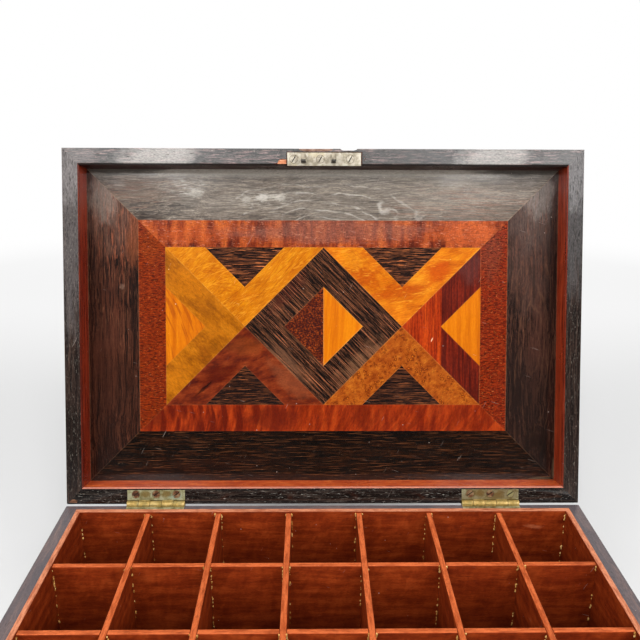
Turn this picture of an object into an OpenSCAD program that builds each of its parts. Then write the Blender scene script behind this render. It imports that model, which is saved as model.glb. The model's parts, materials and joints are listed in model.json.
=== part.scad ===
// Hinged compartment box with a parquetry panel inside its lid.
// Origin: middle of the base's underside. +X is right, +Y is towards the hinges, +Z is up.
// The lid is drawn open, as it stands on its hinges.

/* [Box] */
// Outer width, left to right
box_w = 340; // [310:1:400]
// Outer depth, front to rear
box_d = 234; // [220:1:270]
// Height of the base up to its rim
base_h = 80; // [70:1:110]
// Angle between the two rims when the lid stands open
open_angle = 105.5; // [95:0.5:115]
// Gap between the two rims when the lid is shut
rim_gap = 0.4; // [0.3:0.1:0.8]

/* [Base] */
// Thickness of the front and side walls
wall_t = 8; // [7:0.5:11]
// Thickness of the rear wall
rear_wall_t = 5.4; // [5:0.1:8]
// Thickness of the linings inside the walls
lining_t = 3; // [2.5:0.5:5]
// Thickness of the bottom board
bottom_t = 7; // [5:0.5:10]
// Bevel along the rear edge of the base's rim
base_bevel = 1.5; // [0.5:0.1:1.8]

/* [Compartments] */
// Compartments from left to right
columns = 7; // [5:1:8]
// Compartments from front to rear
rows = 4; // [3:1:4]
// Thickness of the dividers
divider_t = 3.5; // [3:0.1:5]
// Distance of the dividers' tops below the rim
divider_drop = 1.5; // [0.5:0.5:5]
// Depth of the grooves that hold the dividers' ends
groove_depth = 1; // [0.5:0.1:1.5]
// Play of a divider in a groove or a halved joint
joint_play = 0.1; // [0.05:0.05:0.3]

/* [Lid] */
// Width of the lid's rim at the front and sides, with its facing
rail_w = 11; // [10:0.5:16]
// Width of the lid's rim at the hinges, with its facing
rear_rail_w = 11.5; // [11:0.5:16]
// Depth of the recess from the rim to the panel
recess_depth = 16.5; // [14:0.5:24]
// Thickness of the mahogany facings of the recess
facing_t = 1; // [0.6:0.1:2]
// Thickness of the lid's top board
top_board_t = 8; // [6:0.5:12]
// Thickness of the panel's veneers
veneer_t = 1; // [0.6:0.1:2]
// Bevel along the rear edge of the lid's rim
lid_bevel = 0.5; // [0.3:0.1:1.5]

/* [Panel] */
// Width of the dark surround
surround_w = 34.1; // [28:0.1:38]
// Width of the mahogany crossband
crossband_w = 18.1; // [12:0.1:22]

/* [Hinges] */
// Length of each hinge
hinge_len = 38; // [32:1:50]
// Distance from the box's side to the near end of the hinge
hinge_inset = 40; // [30:1:60]
// Diameter of the hinge barrel
barrel_d = 5; // [4.6:0.1:5.6]
// Diameter of the hinge pin
pin_d = 2; // [1.6:0.1:2.4]
// Radial play of the pin in the lid's knuckles
pin_fit = 0.05; // [0.02:0.01:0.1]
// Thickness of the leaves
leaf_t = 1.2; // [1:0.1:1.4]
// Width of the lid's leaf, from the pin's axis
lid_leaf_w = 9.6; // [9:0.1:10.4]
// Depth of the base leaf's turned-down part
leaf_turn = 14; // [12:1:24]
// Gap between neighbouring knuckles
knuckle_gap = 0.3; // [0.3:0.05:0.5]
// Clearance round a barrel and its knuckles
barrel_gap = 0.3; // [0.3:0.05:0.6]
// Distance from the pin's axis to the lid's hinge screws
lid_screw_row = 6.7; // [6.3:0.1:6.8]
// Distance between neighbouring hinge screws
hinge_screw_pitch = 13.4; // [12:0.1:14]

/* [Screws] */
// Head diameter of the lid's screws
lid_head_d = 5; // [4.6:0.1:5.2]
// Shank diameter of the lid's screws
lid_shank_d = 2.6; // [2.2:0.1:3]
// Length of the lid's screws
lid_screw_l = 10; // [7:0.5:13]
// Head diameter of the base's screws
base_head_d = 3.6; // [3.2:0.1:4]
// Shank diameter of the base's screws
base_shank_d = 1.8; // [1.6:0.1:2.2]
// Length of the base's screws
base_screw_l = 4.6; // [3.5:0.1:4.9]
// Width of the driver slots
slot_w = 0.7; // [0.5:0.1:0.9]
// Depth of the driver slots
slot_depth = 0.5; // [0.3:0.1:0.7]
// Radial play of a screw in its hole
screw_fit = 0.05; // [0.03:0.01:0.1]

/* [Strike plate] */
// Length of the strike plate and of the lock's top plate
strike_l = 48; // [46:1:56]
// Wood left between these plates and the outer front edge
plate_margin = 2.6; // [2.2:0.1:3]
// Thickness of the strike plate and of the lock's top plate
strike_t = 1.6; // [1.3:0.1:2]
// Offset of the left strike screw from the middle
strike_screw_left = 19.8; // [19:0.1:20.5]
// Offset of the middle strike screw, to the left
strike_screw_mid = 2.5; // [0:0.1:4]
// Offset of the right strike screw from the middle
strike_screw_right = 17; // [15:0.1:20]
// Offset of the left link from the middle
link_left = 13.5; // [12.8:0.1:14]
// Offset of the right link from the middle
link_right = 6.1; // [5.5:0.1:6.6]
// Thickness of each link
link_t = 3; // [2.4:0.1:3.4]
// Width of each link, front to rear
link_w = 5; // [4.8:0.1:5.4]
// How far the links stand out of the strike plate
link_reach = 9; // [8.6:0.1:9.8]
// Diameter of the eye through each link
eye_d = 3.6; // [3.4:0.1:3.8]
// Depth of the eye's middle below the strike plate's face
eye_depth = 5.6; // [5.2:0.1:5.8]
// Clearance of a link in its slot
link_gap = 0.5; // [0.4:0.1:0.6]

/* [Lock] */
// Height of the lock's plate
lock_h = 38; // [37:1:44]
// Thickness of the lock's plate
plate_t = 1.2; // [1:0.1:1.5]
// Outer width of the lock's cap
cap_w = 39; // [38:0.5:40]
// Outer height of the lock's cap below the rim
cap_h = 29; // [28.5:0.5:31]
// Thickness of the cap's walls
cap_t = 1; // [0.8:0.1:1.1]
// Travel of the bolt
bolt_throw = 4.8; // [4.6:0.1:5]
// Thickness of the bolt, front to rear
bolt_t = 2.4; // [2:0.1:2.8]
// Height of the bolt's bar
bar_h = 4.6; // [4:0.1:5]
// Height and thickness of the bolt's prongs
prong_t = 2; // [1.6:0.1:2.2]
// Width of the posts that carry the prongs
post_w = 2.8; // [2:0.1:3]
// Clearance between a drawn-back prong and its link
prong_gap = 0.6; // [0.4:0.1:0.8]
// Room between the links' tips and the bolt's bar
tip_gap = 1.8; // [1:0.1:2]
// Play of the bolt on its ledges
bolt_play = 0.1; // [0.05:0.01:0.15]
// Depth of the keyhole's middle below the rim
key_depth = 20.5; // [20:0.1:21]
// Diameter of the pin that the key turns on
key_pin_d = 1.8; // [1.4:0.1:2.2]
// Width of the notch that the key works in
talon_w = 5; // [4:0.1:6]
// Thickness of the friction spring
spring_t = 0.4; // [0.3:0.05:0.5]
// Length of the friction spring
spring_l = 16; // [12:1:20]
// Height of the friction spring
spring_h = 2.6; // [2:0.1:3]
// Clearance between the spring's crown and the bolt
spring_gap = 0.3; // [0.2:0.05:0.4]
// Diameter of the keyhole's round part
keyhole_d = 4.4; // [4:0.1:5]
// Width of the keyhole's slot
keyhole_slot_w = 2.2; // [1.8:0.1:2.6]
// Length of the keyhole's slot below its middle
keyhole_slot_l = 7; // [6:0.1:7.4]
// Width of the escutcheon's rim round the keyhole
escutcheon_rim = 1; // [0.6:0.1:1.4]
// Depth of the escutcheon in the front wall
escutcheon_depth = 1.8; // [1.2:0.1:2]

/* [Hidden] */
$fn = 48;
cut = 1; // how far a cutting solid runs past the face that it cuts

// Base: faces of the walls and of the linings
side_x = box_w / 2;
front_y = -box_d / 2;
rear_y = box_d / 2;
in_x = side_x - wall_t;
in_front_y = front_y + wall_t;
in_rear_y = rear_y - rear_wall_t;
cell_x = in_x - lining_t;
cell_front_y = in_front_y + lining_t;
cell_rear_y = in_rear_y - lining_t;

// Compartments
cell_w = (2 * cell_x - (columns - 1) * divider_t) / columns;
cell_d = (cell_rear_y - cell_front_y - (rows - 1) * divider_t) / rows;
divider_top = base_h - divider_drop;
halving_z = (bottom_t + divider_top) / 2;

// Hinge axis
pin_y = rear_y;
pin_z = base_h + rim_gap / 2;
hinge_x = side_x - hinge_inset - hinge_len / 2;
knuckles = 5;
knuckle_l = (hinge_len - (knuckles - 1) * knuckle_gap) / knuckles;
barrel_r = barrel_d / 2;
barrel_space_r = barrel_r + barrel_gap;

// Lid, measured from the hinge axis with the lid shut
rim_z = rim_gap / 2;
rail_h = recess_depth + veneer_t;
recess_w = box_w - 2 * rail_w;
recess_d = box_d - rail_w - rear_rail_w;
recess_y = -rear_rail_w - recess_d / 2;

// Panel: outer sizes of the crossband and of the parquetry inside it
band_w = recess_w - 2 * surround_w;
band_d = recess_d - 2 * surround_w;
tiles_w = band_w - 2 * crossband_w;
tiles_d = band_d - 2 * crossband_w;
unit_x = tiles_w / 8;
unit_y = tiles_d / 4;

// Strike plate and lock. The lock's faces are measured from the box's front face.
lock_w = strike_l;
strike_d = rail_w - plate_margin;
lock_inner = wall_t + lining_t;
plate_front = lock_inner - plate_t;
link_mid = plate_margin + strike_d / 2;
cap_front = plate_margin + 0.2;
cap_in = cap_front + cap_t;
cap_in_x = cap_w / 2 - cap_t;
bolt_front = link_mid - bolt_t / 2;
eye_z = rim_gap - eye_depth;
bar_top = rim_gap - link_reach - tip_gap;
bar_bottom = bar_top - bar_h;
ledge_t = 1.2;
ledge_front = bolt_front - 0.4;
key_room = 7.2;
screw_from_end = 2.5;
plate_screw_x = 12;
plate_screw_z = base_h - (lock_h + cap_h) / 2;
prong_l = bolt_throw + 1;

// ---------- helpers ----------

// A box from its low corner to its high corner
module block(lo, hi) {
    translate(lo) cube(hi - lo);
}

// Four points of one mitred side of a frame. side is +1 or -1.
function mitred_across(outer_w, outer_d, inner_w, inner_d, side) = [
    [-outer_w / 2, side * outer_d / 2],
    [outer_w / 2, side * outer_d / 2],
    [inner_w / 2, side * inner_d / 2],
    [-inner_w / 2, side * inner_d / 2]
];

function mitred_along(outer_w, outer_d, inner_w, inner_d, side) = [
    [side * outer_w / 2, outer_d / 2],
    [side * inner_w / 2, inner_d / 2],
    [side * inner_w / 2, -inner_d / 2],
    [side * outer_w / 2, -outer_d / 2]
];

// A countersunk screw along -Z with its head flush at z = 0. play widens it into its hole.
module screw_body(head_d, shank_d, length, play) {
    head_h = (head_d - shank_d) / 2;
    translate([0, 0, -head_h])
        cylinder(h = head_h, d1 = shank_d + 2 * play, d2 = head_d + 2 * play);
    translate([0, 0, -length - play])
        cylinder(h = length + play - head_h / 2, d = shank_d + 2 * play);
}

module screw(head_d, shank_d, length, slot_angle) {
    difference() {
        screw_body(head_d, shank_d, length, 0);
        rotate([0, 0, slot_angle]) translate([-head_d, -slot_w / 2, -slot_depth])
            cube([2 * head_d, slot_w, slot_depth + cut]);
    }
}

module lid_screw(slot_angle) {
    screw(lid_head_d, lid_shank_d, lid_screw_l, slot_angle);
}

module lid_screw_hole() {
    screw_body(lid_head_d, lid_shank_d, lid_screw_l, screw_fit);
}

module base_screw(slot_angle) {
    screw(base_head_d, base_shank_d, base_screw_l, slot_angle);
}

module base_screw_hole() {
    screw_body(base_head_d, base_shank_d, base_screw_l, screw_fit);
}

// ---------- places ----------

// Children drawn with the lid shut, in axes at the hinge pin, go to the open lid
module on_lid() {
    translate([0, pin_y, pin_z]) rotate([-open_angle, 0, 0]) children();
}

module at_both_hinges() {
    for (side = [-1, 1]) translate([side * hinge_x, 0, 0]) children();
}

module at_hinge_screws() {
    for (i = [-1:1]) translate([i * hinge_screw_pitch, 0, 0]) children();
}

// Screws of the base leaves: heads on the turned-down part, points to the rear
module at_base_leaf_screws() {
    at_both_hinges() at_hinge_screws()
        translate([0, in_rear_y, base_h - (leaf_turn + leaf_t) / 2]) rotate([90, 0, 0]) children();
}

module at_lock_top_screws() {
    for (side = [-1, 1])
        translate([side * (lock_w / 2 - screw_from_end), front_y + link_mid, base_h]) children();
}

module at_lock_plate_screws() {
    for (side = [-1, 1])
        translate([side * plate_screw_x, cell_front_y, plate_screw_z]) rotate([-90, 0, 0]) children();
}

module at_lid_hinge_screws() {
    at_both_hinges() at_hinge_screws()
        translate([0, -lid_screw_row, rim_z]) rotate([180, 0, 0]) children();
}

module at_strike_screws() {
    for (x = [-strike_screw_left, -strike_screw_mid, strike_screw_right])
        translate([x, -box_d + link_mid, rim_z]) rotate([180, 0, 0]) children();
}

module at_links() {
    for (x = [-link_left, link_right]) translate([x, -box_d + link_mid, rim_z]) children();
}

// ---------- base: walls ----------

module rear_edge_bevel() {
    translate([-side_x - cut, rear_y, base_h]) rotate([45, 0, 0])
        translate([0, -base_bevel / sqrt(2), -base_bevel / sqrt(2)])
            cube([box_w + 2 * cut, 2 * base_bevel, 2 * base_bevel]);
}

// Space of the lock in the wood: the top plate, the cap and the plate's own recess
module lock_space() {
    y = front_y;
    block([-lock_w / 2, y + plate_margin, base_h - strike_t], [lock_w / 2, y + lock_inner, base_h + cut]);
    block([-cap_w / 2, y + cap_front, base_h - cap_h], [cap_w / 2, y + plate_front, base_h]);
    block([-lock_w / 2, y + plate_front, base_h - lock_h], [lock_w / 2, y + lock_inner + cut, base_h]);
    at_lock_top_screws() base_screw_hole();
    at_lock_plate_screws() base_screw_hole();
}

// Outline of the keyhole, widened all round by rim
module keyhole_outline(rim) {
    circle(d = keyhole_d + 2 * rim);
    translate([-keyhole_slot_w / 2 - rim, -keyhole_slot_l - rim])
        square([keyhole_slot_w + 2 * rim, keyhole_slot_l + rim]);
}

// The keyhole as a bar through the front, from depth_a to depth_b behind the front face
module keyhole_bar(rim, depth_a, depth_b) {
    translate([0, front_y + depth_b, base_h - key_depth]) rotate([90, 0, 0])
        linear_extrude(depth_b - depth_a) keyhole_outline(rim);
}

module front_wall() {
    color("#3b2a22") difference() {
        linear_extrude(base_h) polygon([
            [-side_x, front_y],
            [side_x, front_y],
            [in_x, in_front_y],
            [-in_x, in_front_y]
        ]);
        lock_space();
        keyhole_bar(0, -cut, cap_front + cut);
        keyhole_bar(escutcheon_rim, -cut, escutcheon_depth);
    }
}

module side_wall(side) {
    color("#3b2a22") difference() {
        linear_extrude(base_h) polygon([
            [side * side_x, front_y],
            [side * in_x, in_front_y],
            [side * in_x, rear_y],
            [side * side_x, rear_y]
        ]);
        rear_edge_bevel();
    }
}

module left_wall() {
    side_wall(-1);
}

module right_wall() {
    side_wall(1);
}

// Space of both base leaves and barrels in the rear wall
module base_leaf_space() {
    at_both_hinges() {
        block(
            [-hinge_len / 2, in_rear_y - cut, base_h - leaf_t],
            [hinge_len / 2, rear_y + cut, base_h + cut]
        );
        block(
            [-hinge_len / 2, in_rear_y - cut, base_h - leaf_turn],
            [hinge_len / 2, in_rear_y + leaf_t, base_h + cut]
        );
        translate([-hinge_len / 2, pin_y, pin_z]) rotate([0, 90, 0])
            cylinder(h = hinge_len, r = barrel_space_r);
    }
    at_base_leaf_screws() base_screw_hole();
}

module rear_wall() {
    color("#3b2a22") difference() {
        block([-in_x, in_rear_y, 0], [in_x, rear_y, base_h]);
        rear_edge_bevel();
        base_leaf_space();
    }
}

module bottom_board() {
    color("#7a4a2c") block([-in_x, in_front_y, 0], [in_x, in_rear_y, bottom_t]);
}

// ---------- base: linings and dividers ----------

function cross_x(i) = -cell_x + i * (cell_w + divider_t) - divider_t / 2;
function long_y(i) = cell_front_y + i * (cell_d + divider_t) - divider_t / 2;

// Body of a divider that runs front to rear, widened by play
module cross_body(i, play) {
    half = divider_t / 2 + play;
    block(
        [cross_x(i) - half, cell_front_y - groove_depth, bottom_t],
        [cross_x(i) + half, cell_rear_y + groove_depth, divider_top]
    );
}

// Body of a divider that runs left to right, widened by play
module long_body(i, play) {
    half = divider_t / 2 + play;
    block(
        [-cell_x - groove_depth, long_y(i) - half, bottom_t],
        [cell_x + groove_depth, long_y(i) + half, divider_top]
    );
}

module front_lining() {
    color("#a0552f") difference() {
        block([-in_x, in_front_y, bottom_t], [in_x, cell_front_y, base_h]);
        for (i = [1:columns - 1]) cross_body(i, joint_play / 2);
        lock_space();
    }
}

module rear_lining() {
    color("#a0552f") difference() {
        block([-in_x, cell_rear_y, bottom_t], [in_x, in_rear_y, base_h]);
        for (i = [1:columns - 1]) cross_body(i, joint_play / 2);
    }
}

module side_lining(side) {
    color("#a0552f") difference() {
        translate([side * (cell_x + lining_t / 2) - lining_t / 2, cell_front_y, bottom_t])
            cube([lining_t, cell_rear_y - cell_front_y, base_h - bottom_t]);
        for (i = [1:rows - 1]) long_body(i, joint_play / 2);
    }
}

module left_lining() {
    side_lining(-1);
}

module right_lining() {
    side_lining(1);
}

// Runs front to rear. Slots from below take the long dividers.
module cross_divider(i) {
    color("#8c4526") difference() {
        cross_body(i, 0);
        for (j = [1:rows - 1]) intersection() {
            long_body(j, joint_play / 2);
            block([-side_x, front_y, 0], [side_x, rear_y, halving_z]);
        }
        block(
            [-lock_w / 2, front_y, base_h - lock_h],
            [lock_w / 2, front_y + lock_inner, base_h]
        );
    }
}

// Runs left to right. Slots from above sit over the cross dividers.
module long_divider(i) {
    color("#8c4526") difference() {
        long_body(i, 0);
        for (j = [1:columns - 1]) intersection() {
            cross_body(j, joint_play / 2);
            block([-side_x, front_y, halving_z], [side_x, rear_y, base_h]);
        }
    }
}

// ---------- hinges ----------

// One knuckle of a barrel, on the pin's axis. Knuckle 0 is at the left end.
module knuckle(i, bore_d) {
    translate([-hinge_len / 2 + i * (knuckle_l + knuckle_gap), 0, 0]) rotate([0, 90, 0]) difference() {
        cylinder(h = knuckle_l, r = barrel_r);
        translate([0, 0, -cut]) cylinder(h = knuckle_l + 2 * cut, d = bore_d);
    }
}

// Clearance that lets another leaf's knuckle turn
module knuckle_space(i) {
    translate([-hinge_len / 2 + i * (knuckle_l + knuckle_gap) - knuckle_gap, 0, 0]) rotate([0, 90, 0])
        cylinder(h = knuckle_l + 2 * knuckle_gap, r = barrel_space_r);
}

// Clears the bore through every knuckle of a leaf
module bore_space(bore_d) {
    translate([-hinge_len / 2 - cut, 0, 0]) rotate([0, 90, 0]) cylinder(h = hinge_len + 2 * cut, d = bore_d);
}

// Base leaf: on the rim, then turned down behind the lining. It holds the outer and middle knuckles.
module hinge_base_leaves() {
    color("#b9a35c") at_both_hinges() difference() {
        translate([0, pin_y, pin_z]) union() {
            difference() {
                union() {
                    block(
                        [-hinge_len / 2, in_rear_y - pin_y, -rim_gap / 2 - leaf_t],
                        [hinge_len / 2, 0, -rim_gap / 2]
                    );
                    block(
                        [-hinge_len / 2, in_rear_y - pin_y, -rim_gap / 2 - leaf_turn],
                        [hinge_len / 2, in_rear_y - pin_y + leaf_t, -rim_gap / 2]
                    );
                }
                for (i = [1, 3]) knuckle_space(i);
                bore_space(pin_d);
            }
            for (i = [0, 2, 4]) knuckle(i, pin_d);
        }
        at_hinge_screws()
            translate([0, in_rear_y, base_h - (leaf_turn + leaf_t) / 2]) rotate([90, 0, 0]) base_screw_hole();
    }
}

// Lid leaf: flush in the lid's rim. It holds the second and fourth knuckles.
module hinge_lid_leaves() {
    bore = pin_d + 2 * pin_fit;
    color("#b9a35c") on_lid() at_both_hinges() difference() {
        union() {
            difference() {
                block([-hinge_len / 2, -lid_leaf_w, rim_z], [hinge_len / 2, 0, rim_z + leaf_t]);
                for (i = [0, 2, 4]) knuckle_space(i);
                bore_space(bore);
            }
            for (i = [1, 3]) knuckle(i, bore);
        }
        at_hinge_screws() translate([0, -lid_screw_row, rim_z]) rotate([180, 0, 0]) lid_screw_hole();
    }
}

module hinge_pins() {
    color("#a08c50") at_both_hinges() translate([-hinge_len / 2, pin_y, pin_z]) rotate([0, 90, 0])
        cylinder(h = hinge_len, d = pin_d);
}

module base_screws() {
    color("#8f7f5a") {
        at_base_leaf_screws() base_screw(25);
        at_lock_top_screws() base_screw(70);
        at_lock_plate_screws() base_screw(10);
    }
}

// Space of both lid leaves and barrels in the lid's wood
module lid_leaf_space() {
    at_both_hinges() {
        block([-hinge_len / 2, -lid_leaf_w, rim_z - cut], [hinge_len / 2, cut, rim_z + leaf_t]);
        translate([-hinge_len / 2, 0, 0]) rotate([0, 90, 0]) cylinder(h = hinge_len, r = barrel_space_r);
    }
    at_lid_hinge_screws() lid_screw_hole();
}

// ---------- lock ----------

module lock_plate() {
    y = front_y;
    color("#a9a292") difference() {
        union() {
            block([-lock_w / 2, y + plate_margin, base_h - strike_t], [lock_w / 2, y + lock_inner, base_h]);
            block([-lock_w / 2, y + plate_front, base_h - lock_h], [lock_w / 2, y + lock_inner, base_h]);
            for (side = [-1, 1]) translate([side * (cap_in_x + key_room) / 2, 0, 0]) block(
                [-(cap_in_x - key_room) / 2, y + ledge_front, base_h + bar_bottom - bolt_play - ledge_t],
                [(cap_in_x - key_room) / 2, y + plate_front, base_h + bar_bottom - bolt_play]
            );
            translate([0, y + plate_front, base_h - key_depth]) rotate([90, 0, 0])
                cylinder(h = plate_front - cap_in - 0.6, d = key_pin_d);
        }
        for (x = [-link_left, link_right]) block(
            [x - link_t / 2 - link_gap, y + link_mid - link_w / 2 - link_gap, base_h - strike_t - cut],
            [x + link_t / 2 + link_gap, y + link_mid + link_w / 2 + link_gap, base_h + cut]
        );
        at_lock_top_screws() base_screw_hole();
        at_lock_plate_screws() base_screw_hole();
    }
}

// The cap covers the works on the wood's side and is open to the plate and at its top
module lock_cap() {
    y = front_y;
    top = base_h - strike_t;
    color("#98917f") difference() {
        block([-cap_w / 2, y + cap_front, base_h - cap_h], [cap_w / 2, y + plate_front, top]);
        block(
            [-cap_in_x, y + cap_in, base_h - cap_h + cap_t],
            [cap_in_x, y + plate_front + cut, top + cut]
        );
        keyhole_bar(0, cap_front - cut, cap_in + cut);
    }
}

// One hooked post of the bolt: its prong points at the link that stands at link_x
module bolt_hook(link_x) {
    tip = link_x + link_t / 2 + prong_gap;
    post = tip + prong_l;
    y = front_y + link_mid;
    top = base_h + eye_z + prong_t / 2;
    block([tip, y - prong_t / 2, top - prong_t], [post, y + prong_t / 2, top]);
    block([post, y - bolt_t / 2, base_h + bar_top - cut], [post + post_w, y + bolt_t / 2, top]);
}

// Drawn back, with its prongs clear of the links
module lock_bolt() {
    y = front_y + link_mid;
    left = -cap_in_x + bolt_throw + prong_gap;
    right = link_right + link_t / 2 + prong_gap + prong_l + post_w;
    color("#b5ab8e") difference() {
        union() {
            block([left, y - bolt_t / 2, base_h + bar_bottom], [right, y + bolt_t / 2, base_h + bar_top]);
            bolt_hook(-link_left);
            bolt_hook(link_right);
        }
        block(
            [bolt_throw / 2 - talon_w / 2, y - bolt_t, base_h + bar_bottom - cut],
            [bolt_throw / 2 + talon_w / 2, y + bolt_t, base_h + bar_bottom + bar_h / 2]
        );
    }
}

// A bowed strip between the cap and the bolt
module lock_spring() {
    rise = bolt_front - cap_in - spring_t - spring_gap;
    radius = (spring_l * spring_l / 4 + rise * rise) / (2 * rise);
    z = base_h + (bar_top + bar_bottom) / 2 - spring_h / 2;
    color("#b0a070") translate([0, front_y + cap_in + rise - radius, z]) linear_extrude(spring_h)
        intersection() {
            difference() {
                circle(r = radius + spring_t);
                circle(r = radius);
            }
            translate([-spring_l / 2, radius - rise]) square([spring_l, rise + spring_t]);
        }
}

module escutcheon() {
    color("#b9a35c") difference() {
        keyhole_bar(escutcheon_rim, 0, escutcheon_depth);
        keyhole_bar(0, -cut, escutcheon_depth + cut);
    }
}

// ---------- lid: rails, facings and board ----------

module lid_rear_bevel() {
    translate([-side_x - cut, 0, rim_z]) rotate([45, 0, 0])
        translate([0, -lid_bevel / sqrt(2), -lid_bevel / sqrt(2)])
            cube([box_w + 2 * cut, 2 * lid_bevel, 2 * lid_bevel]);
}

// Space of the strike plate and its fastenings in the lid's wood
module strike_space() {
    block(
        [-strike_l / 2, -box_d + plate_margin, rim_z - cut],
        [strike_l / 2, -box_d + rail_w + cut, rim_z + strike_t]
    );
    at_strike_screws() lid_screw_hole();
}

// A rail from four points in the lid's plane, cut for the metalwork
module rail(points) {
    color("#332621") on_lid() difference() {
        translate([0, 0, rim_z]) linear_extrude(rail_h) polygon(points);
        lid_rear_bevel();
        lid_leaf_space();
        strike_space();
    }
}

rail_in_x = side_x - rail_w + facing_t;
rail_front_in = -box_d + rail_w - facing_t;
rail_rear_in = -rear_rail_w + facing_t;

module lid_front_rail() {
    rail([[-side_x, -box_d], [side_x, -box_d], [rail_in_x, rail_front_in], [-rail_in_x, rail_front_in]]);
}

module lid_rear_rail() {
    rail([[-side_x, 0], [-rail_in_x, rail_rear_in], [rail_in_x, rail_rear_in], [side_x, 0]]);
}

module lid_side_rail(side) {
    rail([
        [side * side_x, -box_d],
        [side * rail_in_x, rail_front_in],
        [side * rail_in_x, rail_rear_in],
        [side * side_x, 0]
    ]);
}

module lid_left_rail() {
    lid_side_rail(-1);
}

module lid_right_rail() {
    lid_side_rail(1);
}

module lid_top_board() {
    color("#332621") on_lid()
        block([-side_x, -box_d, rim_z + rail_h], [side_x, 0, rim_z + rail_h + top_board_t]);
}

// A thin strip on a rail's inner face, mitred at both ends
module facing(points) {
    color("#8e2f1c") on_lid() difference() {
        translate([0, recess_y, rim_z]) linear_extrude(rail_h) polygon(points);
        strike_space();
    }
}

module front_facing() {
    facing(mitred_across(recess_w + 2 * facing_t, recess_d + 2 * facing_t, recess_w, recess_d, -1));
}

module rear_facing() {
    facing(mitred_across(recess_w + 2 * facing_t, recess_d + 2 * facing_t, recess_w, recess_d, 1));
}

module left_facing() {
    facing(mitred_along(recess_w + 2 * facing_t, recess_d + 2 * facing_t, recess_w, recess_d, -1));
}

module right_facing() {
    facing(mitred_along(recess_w + 2 * facing_t, recess_d + 2 * facing_t, recess_w, recess_d, 1));
}

// ---------- lid: veneers ----------

// A veneer from points measured from the panel's middle, with +Y towards the lid's front
module veneer(points) {
    on_lid() translate([0, recess_y, rim_z + recess_depth]) mirror([0, 1, 0])
        linear_extrude(veneer_t) polygon(points);
}

// The same outline as a cut right through the veneer
module veneer_space(points) {
    on_lid() translate([0, recess_y, rim_z + recess_depth - cut]) mirror([0, 1, 0])
        linear_extrude(veneer_t + 2 * cut) polygon(points);
}

module surround_upper() {
    color("#4a332a") veneer(mitred_across(recess_w, recess_d, band_w, band_d, 1));
}

module surround_lower() {
    color("#4a332a") veneer(mitred_across(recess_w, recess_d, band_w, band_d, -1));
}

module surround_left() {
    color("#4a332a") veneer(mitred_along(recess_w, recess_d, band_w, band_d, -1));
}

module surround_right() {
    color("#4a332a") veneer(mitred_along(recess_w, recess_d, band_w, band_d, 1));
}

module crossband_upper() {
    color("#8e3a1e") veneer(mitred_across(band_w, band_d, tiles_w, tiles_d, 1));
}

module crossband_lower() {
    color("#a0482a") veneer(mitred_across(band_w, band_d, tiles_w, tiles_d, -1));
}

module crossband_left() {
    color("#8e3a1e") veneer(mitred_along(band_w, band_d, tiles_w, tiles_d, -1));
}

module crossband_right() {
    color("#8e3a1e") veneer(mitred_along(band_w, band_d, tiles_w, tiles_d, 1));
}

// ---------- lid: parquetry ----------
// Two square tiles side by side. Each quarter of a tile's side is one unit.

// A point turned by quarter turns about the tile's middle, which lies at mid_x units
function turned(p, quarters) = quarters == 0 ? p : turned([-p[1], p[0]], quarters - 1);
function on_tile(points, quarters, mid_x) = [
    for (p = points) [(turned(p, quarters)[0] + mid_x) * unit_x, turned(p, quarters)[1] * unit_y]
];

// A vee that opens upwards from the tile's middle, and the triangle that it holds
vee_outline = [[0, 0], [2, 2], [1, 2], [0, 1], [-1, 2], [-2, 2]];
held_triangle = [[0, 1], [1, 2], [-1, 2]];
diamond_outline = [[2, 0], [0, 2], [-2, 0], [0, -2]];
left_tile = -2;
right_tile = 2;

module vee(quarters, mid_x) {
    veneer(on_tile(vee_outline, quarters, mid_x));
}

module vee_upper_left() {
    color("#d79a3c") vee(0, left_tile);
}

module vee_left() {
    color("#b98a3c") vee(1, left_tile);
}

module vee_lower_left() {
    color("#8a3c20") vee(2, left_tile);
}

module vee_upper_right() {
    color("#dc8f38") vee(0, right_tile);
}

module vee_right() {
    color("#96401f") vee(3, right_tile);
}

module vee_lower_right() {
    color("#b5622c") vee(2, right_tile);
}

// A band in one piece round the two half diamonds, astride both tiles
module diamond_band() {
    color("#3d2a20") difference() {
        veneer(on_tile(diamond_outline, 0, 0));
        veneer_space(on_tile(diamond_outline / 2, 0, 0));
    }
}

module diamond_left_half() {
    color("#5e2a1e") veneer(on_tile(held_triangle, 3, left_tile));
}

module diamond_right_half() {
    color("#e09a35") veneer(on_tile(held_triangle, 1, right_tile));
}

module dark_triangles() {
    color("#3a2a22") for (mid_x = [left_tile, right_tile], quarters = [0, 2])
        veneer(on_tile(held_triangle, quarters, mid_x));
}

module yellow_triangles() {
    color("#dfa03c") {
        veneer(on_tile(held_triangle, 1, left_tile));
        veneer(on_tile(held_triangle, 3, right_tile));
    }
}

// ---------- lid: screws and strike ----------

module lid_hinge_screws() {
    color("#9a8468") on_lid() at_lid_hinge_screws() lid_screw(35);
}

// Rectangular holes hold the links' feet
module strike_plate() {
    color("#b5b2a8") on_lid() difference() {
        block(
            [-strike_l / 2, -box_d + plate_margin, rim_z],
            [strike_l / 2, -box_d + rail_w, rim_z + strike_t]
        );
        at_strike_screws() lid_screw_hole();
        at_links() block([-link_t / 2, -link_w / 2, -cut], [link_t / 2, link_w / 2, strike_t + cut]);
    }
}

module strike_links() {
    color("#a5a297") on_lid() at_links() difference() {
        block([-link_t / 2, -link_w / 2, -link_reach], [link_t / 2, link_w / 2, strike_t]);
        translate([-link_t, 0, -eye_depth]) rotate([0, 90, 0]) cylinder(h = 2 * link_t, d = eye_d);
    }
}

module strike_screws() {
    color("#9c9a90") on_lid() at_strike_screws() lid_screw(60);
}

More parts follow.
